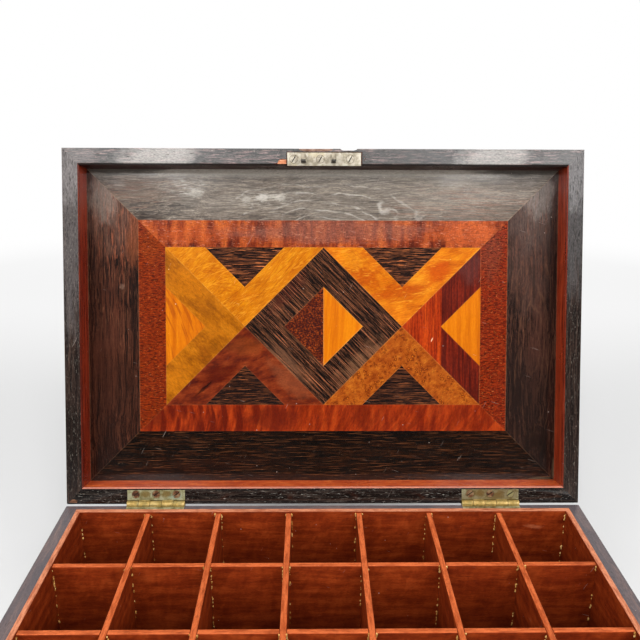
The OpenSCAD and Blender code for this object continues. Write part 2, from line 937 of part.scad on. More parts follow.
front_wall();
rear_wall();
left_wall();
right_wall();
bottom_board();
front_lining();
rear_lining();
left_lining();
right_lining();
for (i = [1:columns - 1]) cross_divider(i);
for (i = [1:rows - 1]) long_divider(i);
hinge_base_leaves();
hinge_pins();
base_screws();
lock_plate();
lock_cap();
lock_bolt();
lock_spring();
escutcheon();
lid_front_rail();
lid_rear_rail();
lid_left_rail();
lid_right_rail();
lid_top_board();
front_facing();
rear_facing();
left_facing();
right_facing();
surround_upper();
surround_lower();
surround_left();
surround_right();
crossband_upper();
crossband_lower();
crossband_left();
crossband_right();
vee_upper_left();
vee_left();
vee_lower_left();
vee_upper_right();
vee_right();
vee_lower_right();
diamond_band();
diamond_left_half();
diamond_right_half();
dark_triangles();
yellow_triangles();
hinge_lid_leaves();
lid_hinge_screws();
strike_plate();
strike_links();
strike_screws();
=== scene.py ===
"""A hinged box with 28 compartments and a parquetry panel in its lid: finishes, small wear and studio."""

import json
import math
import random

import bmesh
import bpy
from mathutils import Matrix, Vector


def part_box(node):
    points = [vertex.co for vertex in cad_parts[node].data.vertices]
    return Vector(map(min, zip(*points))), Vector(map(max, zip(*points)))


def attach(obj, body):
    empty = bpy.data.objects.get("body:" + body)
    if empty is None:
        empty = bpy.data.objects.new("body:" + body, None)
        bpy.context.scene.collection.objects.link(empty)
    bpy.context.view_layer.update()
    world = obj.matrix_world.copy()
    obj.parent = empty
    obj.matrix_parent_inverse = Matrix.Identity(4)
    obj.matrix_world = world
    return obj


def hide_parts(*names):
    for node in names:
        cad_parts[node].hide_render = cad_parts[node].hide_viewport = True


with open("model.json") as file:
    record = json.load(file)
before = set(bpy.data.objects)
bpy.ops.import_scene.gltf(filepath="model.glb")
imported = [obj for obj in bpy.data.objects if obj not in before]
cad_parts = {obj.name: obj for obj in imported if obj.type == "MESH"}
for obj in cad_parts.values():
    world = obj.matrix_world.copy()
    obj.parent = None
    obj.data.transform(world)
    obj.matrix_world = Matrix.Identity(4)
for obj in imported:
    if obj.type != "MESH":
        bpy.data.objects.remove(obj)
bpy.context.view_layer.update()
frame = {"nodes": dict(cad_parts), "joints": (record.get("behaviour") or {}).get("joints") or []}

nodes = frame["nodes"]
scene = bpy.context.scene

# ---------- places and sizes, in millimetres ----------

MM = 0.001
hinge = next(joint for joint in frame["joints"] if joint["name"] == "lid_hinge")
PIN = Vector(hinge["pos_m"]) / MM
LID_LEAN = math.radians(hinge["range_deg"][1] - 90)  # how far the open lid leans back
band_low, band_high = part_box("diamond_band")
UNIT_X = (band_high.x - band_low.x) / MM / 4  # a quarter of a parquetry tile's side
UNIT_Y = (band_high.z - band_low.z) / MM / 4 / math.cos(LID_LEAN)
band_middle = (band_low + band_high) / 2 / MM - PIN
PANEL_MID = band_middle.y * math.sin(LID_LEAN) + band_middle.z * math.cos(LID_LEAN)
PANEL_TILT = -(math.pi / 2 - LID_LEAN)  # turns the open lid's face flat
TILES = (4 * UNIT_X, 2 * UNIT_Y)  # half sizes of the parquetry
LEFT_TILE, RIGHT_TILE = -2.0, 2.0  # the tiles' middles, counted in UNIT_X


def frame_size(left_strip, inner):
    """Half sizes of a mitred frame round inner half sizes, as wide all round as its left strip"""
    half = -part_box(left_strip)[0].x / MM
    return half, inner[1] + half - inner[0]


BAND = frame_size("crossband_left", TILES)
RECESS = frame_size("surround_left", BAND)
HALF_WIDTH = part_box("lid_right_rail")[1].x / MM  # of the closed box, like the half depth
HALF_DEPTH = 117.0
LID_MID = -0.25  # the lid's middle, up from the parquetry's
RAIL_OUTER = LID_MID + HALF_DEPTH  # the lid's front edge, up from the parquetry's middle
RAIL_INNER = RAIL_OUTER - 11.0  # the front rail's inner edge
REAR_RAIL_INNER = LID_MID - HALF_DEPTH + 11.5
RAIL_FACE = 0.2  # the rails' face stands this far behind the hinge pin's middle
HINGE_X = 111.0  # across to the middle of a hinge
SCREW_ROW = -110.55  # height of the lid's hinge screws
PLATE_END = -24.6  # the strike plate's left end, with its gap
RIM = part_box("front_wall")[1].z / MM
DIVIDER_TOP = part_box("long_divider_1")[1].z / MM


def colour(text):
    """A web colour as linear red, green, blue and alpha"""
    parts = [int(text[i:i + 2], 16) / 255 for i in (1, 3, 5)]
    return [c / 12.92 if c <= 0.04045 else ((c + 0.055) / 1.055) ** 2.4 for c in parts] + [1.0]


# ---------- short calls for shader nodes ----------

class Shade:
    """Adds nodes to one tree. A value given for a socket is a number, a colour or another node's output."""

    def __init__(self, tree):
        self.tree = tree

    def feed(self, socket, value):
        if isinstance(value, bpy.types.NodeSocket):
            self.tree.links.new(value, socket)
        elif isinstance(value, str):
            socket.default_value = colour(value)
        else:
            socket.default_value = value

    def add(self, kind, inputs, **settings):
        made = self.tree.nodes.new("ShaderNode" + kind)
        for name, value in settings.items():
            setattr(made, name, value)
        for name, value in inputs.items():
            self.feed(made.inputs[name], value)
        return made

    def math(self, operation, a, b=0.0, clamp=False):
        return self.add("Math", {0: a, 1: b}, operation=operation, use_clamp=clamp).outputs[0]

    def plus(self, a, b, clamp=False):
        return self.math("ADD", a, b, clamp)

    def minus(self, a, b):
        return self.math("SUBTRACT", a, b)

    def times(self, a, b, clamp=False):
        return self.math("MULTIPLY", a, b, clamp)

    def vector(self, operation, a, b=(0.0, 0.0, 0.0)):
        made = self.add("VectorMath", {0: a, 1: b}, operation=operation)
        return made.outputs["Value" if operation in ("LENGTH", "DOT_PRODUCT") else "Vector"]

    def join(self, x, y, z):
        return self.add("CombineXYZ", {"X": x, "Y": y, "Z": z}).outputs[0]

    def split(self, vector):
        return self.add("SeparateXYZ", {"Vector": vector}).outputs

    def smooth(self, value, low, high, start=0.0, end=1.0):
        inputs = {"Value": value, "From Min": low, "From Max": high, "To Min": start, "To Max": end}
        return self.add("MapRange", inputs, interpolation_type="SMOOTHSTEP").outputs[0]

    def linear(self, value, low, high, start=0.0, end=1.0):
        inputs = {"Value": value, "From Min": low, "From Max": high, "To Min": start, "To Max": end}
        return self.add("MapRange", inputs, clamp=True).outputs[0]

    def mix(self, factor, a, b, blend="MIX"):
        made = self.add("Mix", {0: factor, 6: a, 7: b}, data_type="RGBA", blend_type=blend)
        return made.outputs[2]

    def ramp(self, factor, *stops):
        made = self.add("ValToRGB", {"Fac": factor})
        points = made.color_ramp.elements
        while len(points) < len(stops):
            points.new(0.5)
        for point, (place, tint) in zip(points, stops):
            point.position, point.color = place, colour(tint)
        return made.outputs["Color"]

    def spread(self, factor, tints):
        """A ramp that runs evenly through the tints"""
        steps = [(i / (len(tints) - 1) * 0.8 + 0.1, tint) for i, tint in enumerate(tints)]
        return self.ramp(factor, *steps)

    def noise(self, vector, scale=1.0, detail=2.0, rough=0.5, bend=0.0):
        inputs = {"Vector": vector, "Scale": scale, "Detail": detail, "Roughness": rough, "Distortion": bend}
        return self.add("TexNoise", inputs).outputs["Fac"]

    def cells(self, vector, scale=1.0):
        return self.add("TexVoronoi", {"Vector": vector, "Scale": scale}).outputs

    def turned(self, vector, angle):
        inputs = {"Vector": vector, "Angle": angle}
        return self.add("VectorRotate", inputs, rotation_type="Z_AXIS").outputs[0]

    def group(self, tree, **inputs):
        made = self.tree.nodes.new("ShaderNodeGroup")
        made.node_tree = tree
        for name, value in inputs.items():
            self.feed(made.inputs[name.replace("_", " ").title()], value)
        return made.outputs


def new_group(name, inputs, outputs):
    """An empty shader group. inputs holds names with defaults, outputs holds names with socket kinds."""
    tree = bpy.data.node_groups.new(name, "ShaderNodeTree")
    for label, default in inputs.items():
        kind = "NodeSocketFloat" if isinstance(default, float) else "NodeSocketVector"
        tree.interface.new_socket(label, in_out="INPUT", socket_type=kind).default_value = default
    for label, kind in outputs.items():
        tree.interface.new_socket(label, in_out="OUTPUT", socket_type="NodeSocket" + kind)
    given = tree.nodes.new("NodeGroupInput").outputs
    result = tree.nodes.new("NodeGroupOutput").inputs
    return tree, Shade(tree), given, result


# ---------- effects that several finishes use ----------

def make_wood_grain():
    """Grain that runs along X: broad tone, fine fibres and open pores"""
    tree, s, given, result = new_group(
        "wood_grain",
        {"Vector": (0.0, 0.0, 0.0), "Length": 40.0, "Width": 3.0, "Wander": 2.0, "Pores": 0.5},
        {"Tone": "Float", "Fibre": "Float", "Pore": "Float"})
    drift = s.minus(s.noise(given["Vector"], 0.018, 2.0), 0.5)
    drift = s.times(drift, given["Wander"])
    across = s.vector("ADD", given["Vector"], s.join(0.0, drift, drift))

    def streak(length, width, detail):
        span = s.join(s.times(given["Length"], length), width, width)
        return s.noise(s.vector("DIVIDE", across, span), 1.0, detail, 0.55)

    tone = streak(1.0, given["Width"], 3.0)
    fibre = streak(0.3, s.times(given["Width"], 0.2), 2.0)
    pore = s.noise(s.vector("DIVIDE", across, (4.5, 0.42, 0.42)), 1.0, 1.0, 0.5)
    edge = s.minus(0.82, s.times(given["Pores"], 0.3))
    s.feed(result["Tone"], s.smooth(tone, 0.28, 0.72))
    s.feed(result["Fibre"], s.smooth(fibre, 0.28, 0.72))
    s.feed(result["Pore"], s.smooth(pore, edge, s.plus(edge, 0.08)))
    return tree


def make_patch():
    """A soft oval with a ragged edge"""
    tree, s, given, result = new_group(
        "patch",
        {"Vector": (0.0, 0.0, 0.0), "Centre": (0.0, 0.0, 0.0), "Size": (10.0, 10.0, 10.0),
         "Turn": 0.0, "Ragged": 0.5},
        {"Mask": "Float"})
    away = s.vector("SUBTRACT", given["Vector"], given["Centre"])
    away = s.turned(away, s.times(given["Turn"], -1.0))
    away = s.vector("MULTIPLY", s.vector("DIVIDE", away, given["Size"]), (1.0, 1.0, 0.0))
    waves = s.noise(s.vector("MULTIPLY", away, (1.6, 1.6, 1.6)), 1.0, 3.0, 0.6)
    waves = s.times(s.minus(waves, 0.5), s.times(given["Ragged"], 3.0))
    reach = s.plus(s.vector("LENGTH", away), waves)
    s.feed(result["Mask"], s.smooth(reach, 1.15, 0.45))
    return tree


def make_vee_borders():
    """How far a point of an upright vee, or of its triangle, lies from the piece's border, in millimetres"""
    tree, s, given, result = new_group(
        "vee_borders", {"Vector": (0.0, 0.0, 0.0)}, {"Vee": "Float", "Triangle": "Float", "Diamond": "Float"})
    x, y, _ = s.split(given["Vector"])
    side = s.math("ABSOLUTE", x)
    slant = s.times(s.minus(y, side), UNIT_X / math.sqrt(2))
    inner = s.minus(UNIT_X / math.sqrt(2), slant)
    top = s.times(s.minus(2.0, y), UNIT_Y)
    s.feed(result["Vee"], s.math("MINIMUM", s.math("MINIMUM", slant, inner), top))
    s.feed(result["Triangle"], s.math("MINIMUM", s.times(inner, -1.0), top))
    ring = s.times(s.plus(side, s.math("ABSOLUTE", y)), UNIT_X / math.sqrt(2))
    outside = s.minus(2 * UNIT_X / math.sqrt(2), ring)
    inside = s.math("ABSOLUTE", s.minus(ring, UNIT_X / math.sqrt(2)))
    s.feed(result["Diamond"], s.math("MINIMUM", outside, inside))
    return tree


def make_strip_borders():
    """How far a point of the upper strip of a mitred frame lies from the strip's border, in millimetres"""
    tree, s, given, result = new_group(
        "strip_borders",
        {"Vector": (0.0, 0.0, 0.0), "Outer": 70.0, "Inner": 50.0, "Inner Side": 100.0}, {"Strip": "Float"})
    x, y, _ = s.split(given["Vector"])
    low = s.minus(y, given["Inner"])
    mitre = s.minus(low, s.minus(s.math("ABSOLUTE", x), given["Inner Side"]))
    mitre = s.math("DIVIDE", mitre, math.sqrt(2))
    near = s.math("MINIMUM", s.math("MINIMUM", low, mitre), s.minus(given["Outer"], y))
    s.feed(result["Strip"], near)
    return tree


def make_age():
    """Small pale specks, hairline scratches and cloudy polish"""
    tree, s, given, result = new_group(
        "age", {"Vector": (0.0, 0.0, 0.0), "Specks": 0.3, "Scratches": 0.3},
        {"Speck": "Float", "Scratch": "Float", "Cloud": "Float"})
    cells = s.cells(given["Vector"], 0.22)
    chosen = s.split(cells["Color"])[0]
    size = s.times(s.smooth(chosen, s.minus(1.0, given["Specks"]), 1.0), 0.09)
    s.feed(result["Speck"], s.smooth(cells["Distance"], size, s.times(size, 0.5)))
    cut = s.minus(0.92, s.times(given["Scratches"], 0.2))
    lines = [s.noise(s.vector("DIVIDE", s.turned(given["Vector"], turn), (11.0, 0.5, 0.5)), 1.0, 0.0)
             for turn in (0.3, -1.1)]
    line = s.math("MAXIMUM", *lines)
    s.feed(result["Scratch"], s.smooth(line, cut, s.plus(cut, 0.04)))
    s.feed(result["Cloud"], s.smooth(s.noise(given["Vector"], 0.03, 4.0, 0.6), 0.35, 0.65))
    return tree


WOOD_GRAIN = make_wood_grain()
PATCH = make_patch()
VEE_BORDERS = make_vee_borders()
STRIP_BORDERS = make_strip_borders()
AGE = make_age()


# ---------- finishes ----------

def start_material(name, specular, metallic=0.0, coat_roughness=0.3):
    """A material with its shader, and the calls that add nodes to it"""
    material = bpy.data.materials.new(name)
    material.use_nodes = True
    tree = material.node_tree
    shader = tree.nodes["Principled BSDF"]
    shader.inputs["Metallic"].default_value = metallic
    shader.inputs["Coat Roughness"].default_value = coat_roughness
    shader.inputs["Specular IOR Level"].default_value = specular
    return material, Shade(tree), shader.inputs


def lid_place(s):
    """Millimetres on the lid's panel: across, up from the parquetry's middle, and out towards the viewer"""
    spot = s.add("TexCoord", {}).outputs["Object"]
    turn = Matrix.Rotation(PANEL_TILT, 3, "X")
    start = -(turn @ PIN) - Vector((0.0, PANEL_MID, 0.0))
    scale = (1 / MM,) * 3
    inputs = {"Vector": spot, "Location": start, "Rotation": (PANEL_TILT, 0.0, 0.0), "Scale": scale}
    return s.add("Mapping", inputs).outputs[0]


def box_place(s):
    """Millimetres in the box's own frame"""
    spot = s.add("TexCoord", {}).outputs["Object"]
    return s.add("Mapping", {"Vector": spot, "Scale": (1 / MM,) * 3}).outputs[0]


def wood(name, tones, place=lid_place, angle=0.0, length=40.0, width=3.0, wander=3.0, fibre=0.35,
         figure=None, pores=("#1a100c", 0.5, 0.5), border=None, line=("#b08a68", 0.25),
         specks=0.25, scratches=0.25, pale="#b9aaa0", seed=0.0, rough=0.34, coat=1.0,
         coat_roughness=0.14, specular=0.03, bump=0.000025, grit=0.1, layers=()):
    """A veneered or solid wood. tones run from dark to light, figure is (spacing, stretch, angle, strength),
    pores is (tint, number, strength), line is the (tint, strength) of the glue line at its border, grit is
    how much its finest texture varies, and layers are functions that lay something over the base colour."""
    material, s, surface = start_material(name, specular, coat_roughness=coat_roughness)
    spot = place(s)
    moved = (seed * 137.0, seed * 71.0, seed * 29.0)
    grain_spot = s.vector("ADD", s.turned(spot, -math.radians(angle)), moved)
    grain = s.group(WOOD_GRAIN, vector=grain_spot, length=length, width=width, wander=wander, pores=pores[1])
    value = s.times(grain["Tone"], 1.0 - fibre)
    value = s.plus(value, s.times(grain["Fibre"], fibre))
    if figure:
        spacing, stretch, lean, strength = figure
        leaned = s.turned(grain_spot, -math.radians(lean))
        bands = s.vector("DIVIDE", leaned, (spacing * stretch, spacing, spacing))
        bands = s.smooth(s.noise(bands, 1.0, 2.0, 0.5, 0.6), 0.3, 0.7)
        value = s.plus(s.times(value, 1.0 - strength), s.times(bands, strength))
    base = s.spread(value, tones)
    for layer in layers:
        base = layer(s, base, spot)
    base = s.mix(s.times(grain["Pore"], pores[2]), base, pores[0])
    shade = s.noise(s.vector("DIVIDE", grain_spot, (1.7, 0.75, 0.75)), 1.0, 2.0, 0.6)
    shade = s.linear(shade, 0.25, 0.75, 1.0 - 2.0 * grit, 1.0 + 2.0 * grit)
    base = s.mix(1.0, base, s.join(shade, shade, shade), "MULTIPLY")
    age = s.group(AGE, vector=spot, specks=specks, scratches=scratches)
    marks = s.math("MAXIMUM", age["Speck"], s.times(age["Scratch"], 0.45))
    base = s.mix(s.times(marks, 0.55), base, pale)
    if border:
        near = border(s, spot)
        broken = s.smooth(s.noise(spot, 0.35, 3.0, 0.7), 0.38, 0.6)
        thin = s.smooth(near, 0.55, 0.1)
        thin = s.times(thin, s.plus(s.times(broken, 0.6), 0.4))
        base = s.mix(s.times(thin, line[1]), base, line[0])
    s.feed(surface["Base Color"], base)
    closed = s.times(shade, s.minus(1.0, s.times(grain["Pore"], 0.7)))
    s.feed(surface["Coat Weight"], s.times(closed, coat, clamp=True))
    gloss = s.plus(rough, s.times(s.minus(age["Cloud"], 0.5), 0.16))
    gloss = s.plus(gloss, s.times(grain["Pore"], 0.2), clamp=True)
    s.feed(surface["Roughness"], gloss)
    height = s.minus(s.times(grain["Fibre"], 0.35), grain["Pore"])
    height = s.minus(height, s.times(age["Scratch"], 0.8))
    swell = s.noise(spot, 0.035, 2.0, 0.5)
    swell = s.add("Bump", {"Height": swell, "Distance": 0.00025, "Strength": 1.0}).outputs[0]
    relief = s.add("Bump", {"Height": height, "Distance": bump, "Strength": 0.8, "Normal": swell}).outputs[0]
    s.feed(surface["Normal"], relief)
    s.feed(surface["Coat Normal"], swell)
    return material


def patch_mask(s, spot, x, y, length, width, turn):
    return s.group(PATCH, vector=spot, centre=(x, y, 0.0), size=(length, width, 1.0),
                   turn=math.radians(turn))["Mask"]


def patch(x, y, length, width, turn, tint, strength):
    """A layer with one soft patch of colour. length and width are half sizes."""
    def lay(s, base, spot):
        return s.mix(s.times(patch_mask(s, spot, x, y, length, width, turn), strength), base, tint)
    return lay


def streaks(tint, spacing, length, angle, cut, strength, bend=0.0, seed=0.0, within=None):
    """A layer of thin lines along the grain, all over or within one patch. A higher cut leaves fewer."""
    def lay(s, base, spot):
        turned = s.vector("ADD", s.turned(spot, -math.radians(angle)), (seed * 61.0, seed * 37.0, 0.0))
        lines = s.noise(s.vector("DIVIDE", turned, (length, spacing, spacing)), 1.0, 2.0, 0.6, bend)
        mask = s.smooth(lines, cut, cut + 0.1, 0.0, strength)
        if within:
            mask = s.times(mask, patch_mask(s, spot, *within))
        return s.mix(mask, base, tint)
    return lay


def rings(x, y, wide, tall, pitch, tint, strength):
    """A layer of long growth rings round a point, out to an oval of the given half sizes"""
    def lay(s, base, spot):
        away = s.vector("MULTIPLY", s.vector("SUBTRACT", spot, (x, y, 0.0)), (1.0 / wide, 1.0 / tall, 0.0))
        wobble = s.times(s.noise(s.vector("MULTIPLY", away, (2.2, 2.2, 1.0)), 1.0, 3.0), 0.5)
        reach = s.plus(s.vector("LENGTH", away), wobble)
        turns = s.math("FRACT", s.math("DIVIDE", reach, pitch / min(wide, tall)))
        line = s.smooth(s.math("ABSOLUTE", s.minus(turns, 0.5)), 0.16, 0.02)
        broken = s.smooth(s.noise(spot, 0.09, 3.0, 0.6), 0.4, 0.6, 0.1, 1.0)
        fade = s.times(s.smooth(reach, 1.25, 0.95), s.smooth(reach, 0.3, 0.6))
        mask = s.times(s.times(line, broken), s.times(fade, strength))
        return s.mix(mask, base, tint)
    return lay


def vee_frame(s, spot, quarters, mid):
    """Parquetry units about a tile's middle, turned so that its vee stands upright"""
    units = s.vector("DIVIDE", spot, (UNIT_X, UNIT_Y, 1.0))
    return s.turned(s.vector("SUBTRACT", units, (mid, 0.0, 0.0)), -math.radians(90 * quarters))


def in_vee(quarters, mid, kind="Vee"):
    return lambda s, spot: s.group(VEE_BORDERS, vector=vee_frame(s, spot, quarters, mid))[kind]


def in_strip(quarters, outer, inner):
    """Border of one strip of a mitred frame: 0 upper, 1 left, 2 lower, 3 right"""
    ends = (1, 0) if quarters % 2 == 0 else (0, 1)
    return lambda s, spot: s.group(
        STRIP_BORDERS, vector=s.turned(spot, -math.radians(90 * quarters)),
        outer=outer[ends[0]], inner=inner[ends[0]], inner_side=inner[ends[1]])["Strip"]


def painted_light_under_rail(s, base, spot):
    """A paler strip under the lid's front rail: painted light that lifts the shade there"""
    _, y, _ = s.split(spot)
    return s.mix(s.smooth(y, 99.0, 104.5, 0.0, 0.62), base, "#b8b0a4")


finish = {}

# Coromandel surround, mitred at its corners
VENEER = dict(angle=90.0, length=60.0, width=1.8, fibre=0.5, line=("#b08a68", 0.12), grit=0.12)
finish["surround_upper"] = wood(
    "coromandel_upper", ["#302824", "#4a4039", "#655a50", "#827769"], length=26.0, width=1.5, wander=14.0,
    pores=("#221913", 0.55, 0.45), seed=1.0, rough=0.38, border=in_strip(0, RECESS, BAND), fibre=0.5,
    line=("#b08a68", 0.15), grit=0.1, layers=(
        # Pale grey patches in this list are partly bloomed polish and partly painted glare from the lamps
        patch(30.0, 88.0, 130.0, 20.0, 0, "#827a70", 0.35),
        patch(-128.0, 90.0, 26.0, 18.0, 0, "#4e3a2c", 0.45),
        patch(118.0, 78.0, 32.0, 8.0, 4, "#3e3127", 0.45), streaks("#171211", 0.6, 14.0, 0.0, 0.5, 0.45),
        streaks("#b3aca0", 0.6, 12.0, 0.0, 0.6, 0.3),
        streaks("#5e3a2c", 0.8, 16.0, 2.0, 0.5, 0.5, 1.0, within=(-120.0, 92.0, 34.0, 14.0, 0)),
        streaks("#7a5240", 0.8, 20.0, -2.0, 0.48, 0.45, 1.0, within=(98.0, 82.0, 56.0, 15.0, 0)),
        streaks("#110d0b", 1.1, 9.0, 6.0, 0.46, 0.85, 1.5, within=(-116.0, 79.0, 36.0, 8.0, 3)),
        streaks("#a39d93", 0.6, 6.0, 0.0, 0.52, 0.5, within=(-92.0, 94.0, 18.0, 7.0, 0)),
        streaks("#a39d93", 0.7, 6.0, 0.0, 0.52, 0.45, within=(-42.0, 86.0, 27.0, 6.5, 0)),
        # These pale grey patches and flecks: bloomed polish and painted glare
        patch(-90.0, 88.0, 54.0, 24.0, 0, "#9a9186", 0.12),
        patch(104.0, 88.0, 54.0, 24.0, 0, "#9a9186", 0.15),
        patch(-52.0, 86.0, 4.0, 2.6, 0, "#aaa59b", 0.35), patch(-41.0, 87.0, 4.2, 3.0, 0, "#b2ada3", 0.4),
        patch(-29.0, 87.0, 4.4, 2.6, 0, "#b2ada3", 0.4), patch(-86.0, 90.0, 7.0, 3.4, 0, "#aaa59b", 0.35),
        # The layer after the rings paints light under the front rail, against its shade
        rings(-5.0, 64.0, 84.0, 38.0, 5.5, "#d3cec4", 0.25), painted_light_under_rail,
        patch(-118.0, 72.0, 15.0, 6.0, 0, "#261b15", 0.5), patch(128.0, 98.0, 22.0, 8.0, 0, "#3a322d", 0.3),
        # Painted shadow under the front facing, in the recess's upper corners
        patch(-136.0, 105.5, 40.0, 4.4, 0, "#16100e", 0.75),
        patch(138.0, 105.5, 40.0, 4.4, 0, "#1a1513", 0.75)))
finish["surround_lower"] = wood(
    "coromandel_lower", ["#050202", "#0c0502", "#1a0a03", "#321709"], length=50.0, width=1.5, wander=9.0,
    pores=("#462612", 0.35, 0.35), seed=2.0, fibre=0.5, grit=0.16, layers=(
        patch(-80.0, -95.0, 60.0, 6.0, 3, "#260e05", 0.4), patch(20.0, -76.0, 50.0, 4.0, 2, "#050202", 0.5),
        streaks("#020202", 0.9, 18.0, 0.0, 0.5, 0.7), streaks("#60371d", 0.42, 15.0, 0.0, 0.58, 0.6),
        streaks("#7c6854", 0.35, 3.0, 25.0, 0.69, 0.6, seed=3.0),
        patch(150.0, -104.6, 9.0, 1.2, 0, "#7a6a50", 0.2)))
finish["surround_left"] = wood(
    "coromandel_left", ["#0f0705", "#26120a", "#3d1f14", "#573222"], wander=12.0, seed=3.0,
    border=in_strip(1, RECESS, BAND), layers=(
        patch(-146.0, -6.0, 10.0, 62.0, 0, "#4a2518", 0.5),
        patch(-128.0, 20.0, 3.5, 52.0, 0, "#100705", 0.7),
        patch(-142.0, 76.0, 18.0, 30.0, 0, "#6a4a3c", 0.5),
        patch(-137.0, 42.0, 6.0, 8.0, 0, "#110705", 0.6), patch(-136.0, 27.0, 2.0, 2.0, 0, "#735748", 0.7),
        streaks("#090504", 1.0, 20.0, 90.0, 0.5, 0.3),
        streaks("#090504", 1.0, 18.0, 90.0, 0.48, 0.6, seed=1.0, within=(-142.0, 42.0, 34.0, 50.0, 0)),
        streaks("#7d5038", 0.6, 14.0, 90.0, 0.58, 0.45, within=(-142.0, 50.0, 34.0, 60.0, 0)),
        streaks("#5a3a2a", 0.6, 14.0, 90.0, 0.62, 0.4, seed=2.0),
        patch(-128.0, 62.0, 6.0, 22.0, 0, "#6e3a22", 0.5),
        patch(-142.0, -56.0, 34.0, 50.0, 0, "#1e0e09", 0.45),
        patch(-148.0, -92.0, 16.0, 18.0, 0, "#120805", 0.5),
        patch(-147.0, 89.0, 12.0, 20.0, 0, "#857a70", 0.38),
        streaks("#8e4c33", 1.0, 13.0, 90.0, 0.54, 0.5, 1.0, 8.0, within=(-139.0, 66.0, 18.0, 34.0, 0)),
        streaks("#1c120e", 1.1, 12.0, 90.0, 0.54, 0.55, 1.0, 9.0, within=(-142.0, 74.0, 18.0, 36.0, 0)),
        # Painted shade beside the left facing
        patch(-156.5, 30.0, 3.0, 70.0, 0, "#120a07", 0.4)), **VENEER)
finish["surround_right"] = wood(
    "coromandel_right", ["#100906", "#23140f", "#341f18", "#4f3224"], wander=16.0, seed=4.0,
    border=in_strip(3, RECESS, BAND), layers=(
        patch(146.0, -14.0, 9.0, 42.0, 0, "#45281e", 0.5),
        patch(139.0, 74.0, 18.0, 30.0, 0, "#4f3b35", 0.25),
        patch(131.0, -20.0, 5.0, 50.0, 0, "#170c09", 0.5), streaks("#090504", 1.0, 20.0, 90.0, 0.5, 0.35),
        streaks("#090504", 1.0, 18.0, 90.0, 0.5, 0.5, seed=1.0, within=(142.0, 48.0, 34.0, 60.0, 0)),
        rings(143.0, -20.0, 20.0, 90.0, 3.6, "#65432f", 0.3),
        patch(141.0, 52.0, 20.0, 44.0, 0, "#5a453d", 0.2),
        patch(142.0, -58.0, 34.0, 44.0, 0, "#160d0a", 0.5),
        patch(146.0, -88.0, 18.0, 22.0, 0, "#100906", 0.5),
        patch(158.4, -98.0, 1.0, 8.0, 0, "#7a6a50", 0.2),
        patch(146.0, 91.0, 13.0, 19.0, 0, "#8a817a", 0.42),
        patch(143.0, 76.0, 18.0, 24.0, 0, "#6a5f58", 0.14),
        streaks("#74432f", 0.9, 12.0, 90.0, 0.55, 0.34, 1.2, 8.0, within=(141.0, 58.0, 18.0, 40.0, 0)),
        streaks("#191210", 0.9, 10.0, 90.0, 0.54, 0.5, 1.2, 9.0, within=(143.0, 74.0, 18.0, 34.0, 0)),
        # Painted shade beside the right facing
        patch(155.5, 36.0, 3.6, 62.0, 0, "#0d0908", 0.6)), **VENEER)

# Crossbanding, its grain across each strip
END_STRIP = dict(length=3.4, width=0.8, wander=3.0, specks=0.5, fibre=0.5, line=("#c8703c", 0.15))
finish["crossband_upper"] = wood(
    "crossband_mahogany_upper", ["#411308", "#6a250e", "#8e3e18", "#a34f1f"], angle=90.0, length=22.0,
    width=6.0, wander=8.0, figure=(8.0, 3.0, 0.0, 0.38), seed=5.0, border=in_strip(0, BAND, TILES),
    fibre=0.1, line=("#c8703c", 0.06), grit=0.16, layers=(
        patch(8.0, 65.0, 82.0, 9.0, 0, "#744a3d", 0.57), patch(98.0, 64.0, 26.0, 10.0, 0, "#a64c22", 0.65),
        patch(-88.0, 62.0, 30.0, 6.0, 0, "#9a421a", 0.45), streaks("#4d170a", 0.7, 5.0, 0.0, 0.54, 0.3),
        streaks("#341108", 0.6, 3.0, 10.0, 0.54, 0.45, seed=5.0),
        streaks("#c58a6c", 0.5, 3.4, -10.0, 0.6, 0.35, seed=6.0)))


def leaning_flames(s, base, spot):
    """Dark flames, upright and strong on the left, leaning and faint on the right"""
    x, y, _ = s.split(spot)
    lean = s.smooth(x, -30.0, 40.0, 0.05, 0.75)
    along = s.minus(x, s.times(lean, s.plus(y, TILES[1])))
    bow = s.times(s.math("SINE", s.math("DIVIDE", s.plus(y, TILES[1]), 7.0)), 1.6)
    along = s.plus(along, bow)
    flames = s.join(s.math("DIVIDE", along, 4.4), s.math("DIVIDE", y, 28.0), 7.0)
    flames = s.noise(flames, 1.0, 2.0, 0.45, 0.5)
    depth = s.smooth(x, -60.0, -10.0, 0.95, 0.45)
    return s.mix(s.times(s.smooth(flames, 0.62, 0.38), depth), base, "#4d0f03")


finish["crossband_lower"] = wood(
    "crossband_mahogany_lower", ["#611704", "#762206", "#852a08", "#91340d"], angle=80.0, length=16.0,
    width=3.4, wander=10.0, figure=(6.0, 3.0, 0.0, 0.3), seed=6.0, border=in_strip(2, BAND, TILES),
    fibre=0.12, line=("#c8703c", 0.06), grit=0.12, layers=(
        patch(-118.0, -60.0, 14.0, 11.0, 0, "#5a1a07", 0.85),
        patch(-35.0, -62.0, 24.0, 9.0, 0, "#460e04", 0.6),
        patch(26.0, -60.0, 8.0, 12.0, 20, "#4d1003", 0.5), leaning_flames))
finish["crossband_left"] = wood(
    "crossband_mahogany_left", ["#491303", "#5d1903", "#6e2104", "#843007"], seed=7.0,
    border=in_strip(1, BAND, TILES), grit=0.14, layers=(
        patch(-116.0, 56.0, 9.0, 16.0, 0, "#78300a", 0.4), streaks("#2d0902", 0.7, 2.6, 0.0, 0.5, 0.7),
        streaks("#c4783e", 0.45, 1.8, 0.0, 0.64, 0.7)), **END_STRIP)
finish["crossband_right"] = wood(
    "crossband_mahogany_right", ["#451004", "#5d1604", "#711f06", "#862c09"], seed=8.0,
    border=in_strip(3, BAND, TILES), grit=0.17, layers=(
        patch(114.0, 50.0, 9.0, 20.0, 0, "#5e3224", 0.4), streaks("#2d0902", 0.7, 2.6, 0.0, 0.5, 0.75),
        streaks("#c4783e", 0.45, 1.8, 0.0, 0.63, 0.75)), **END_STRIP)

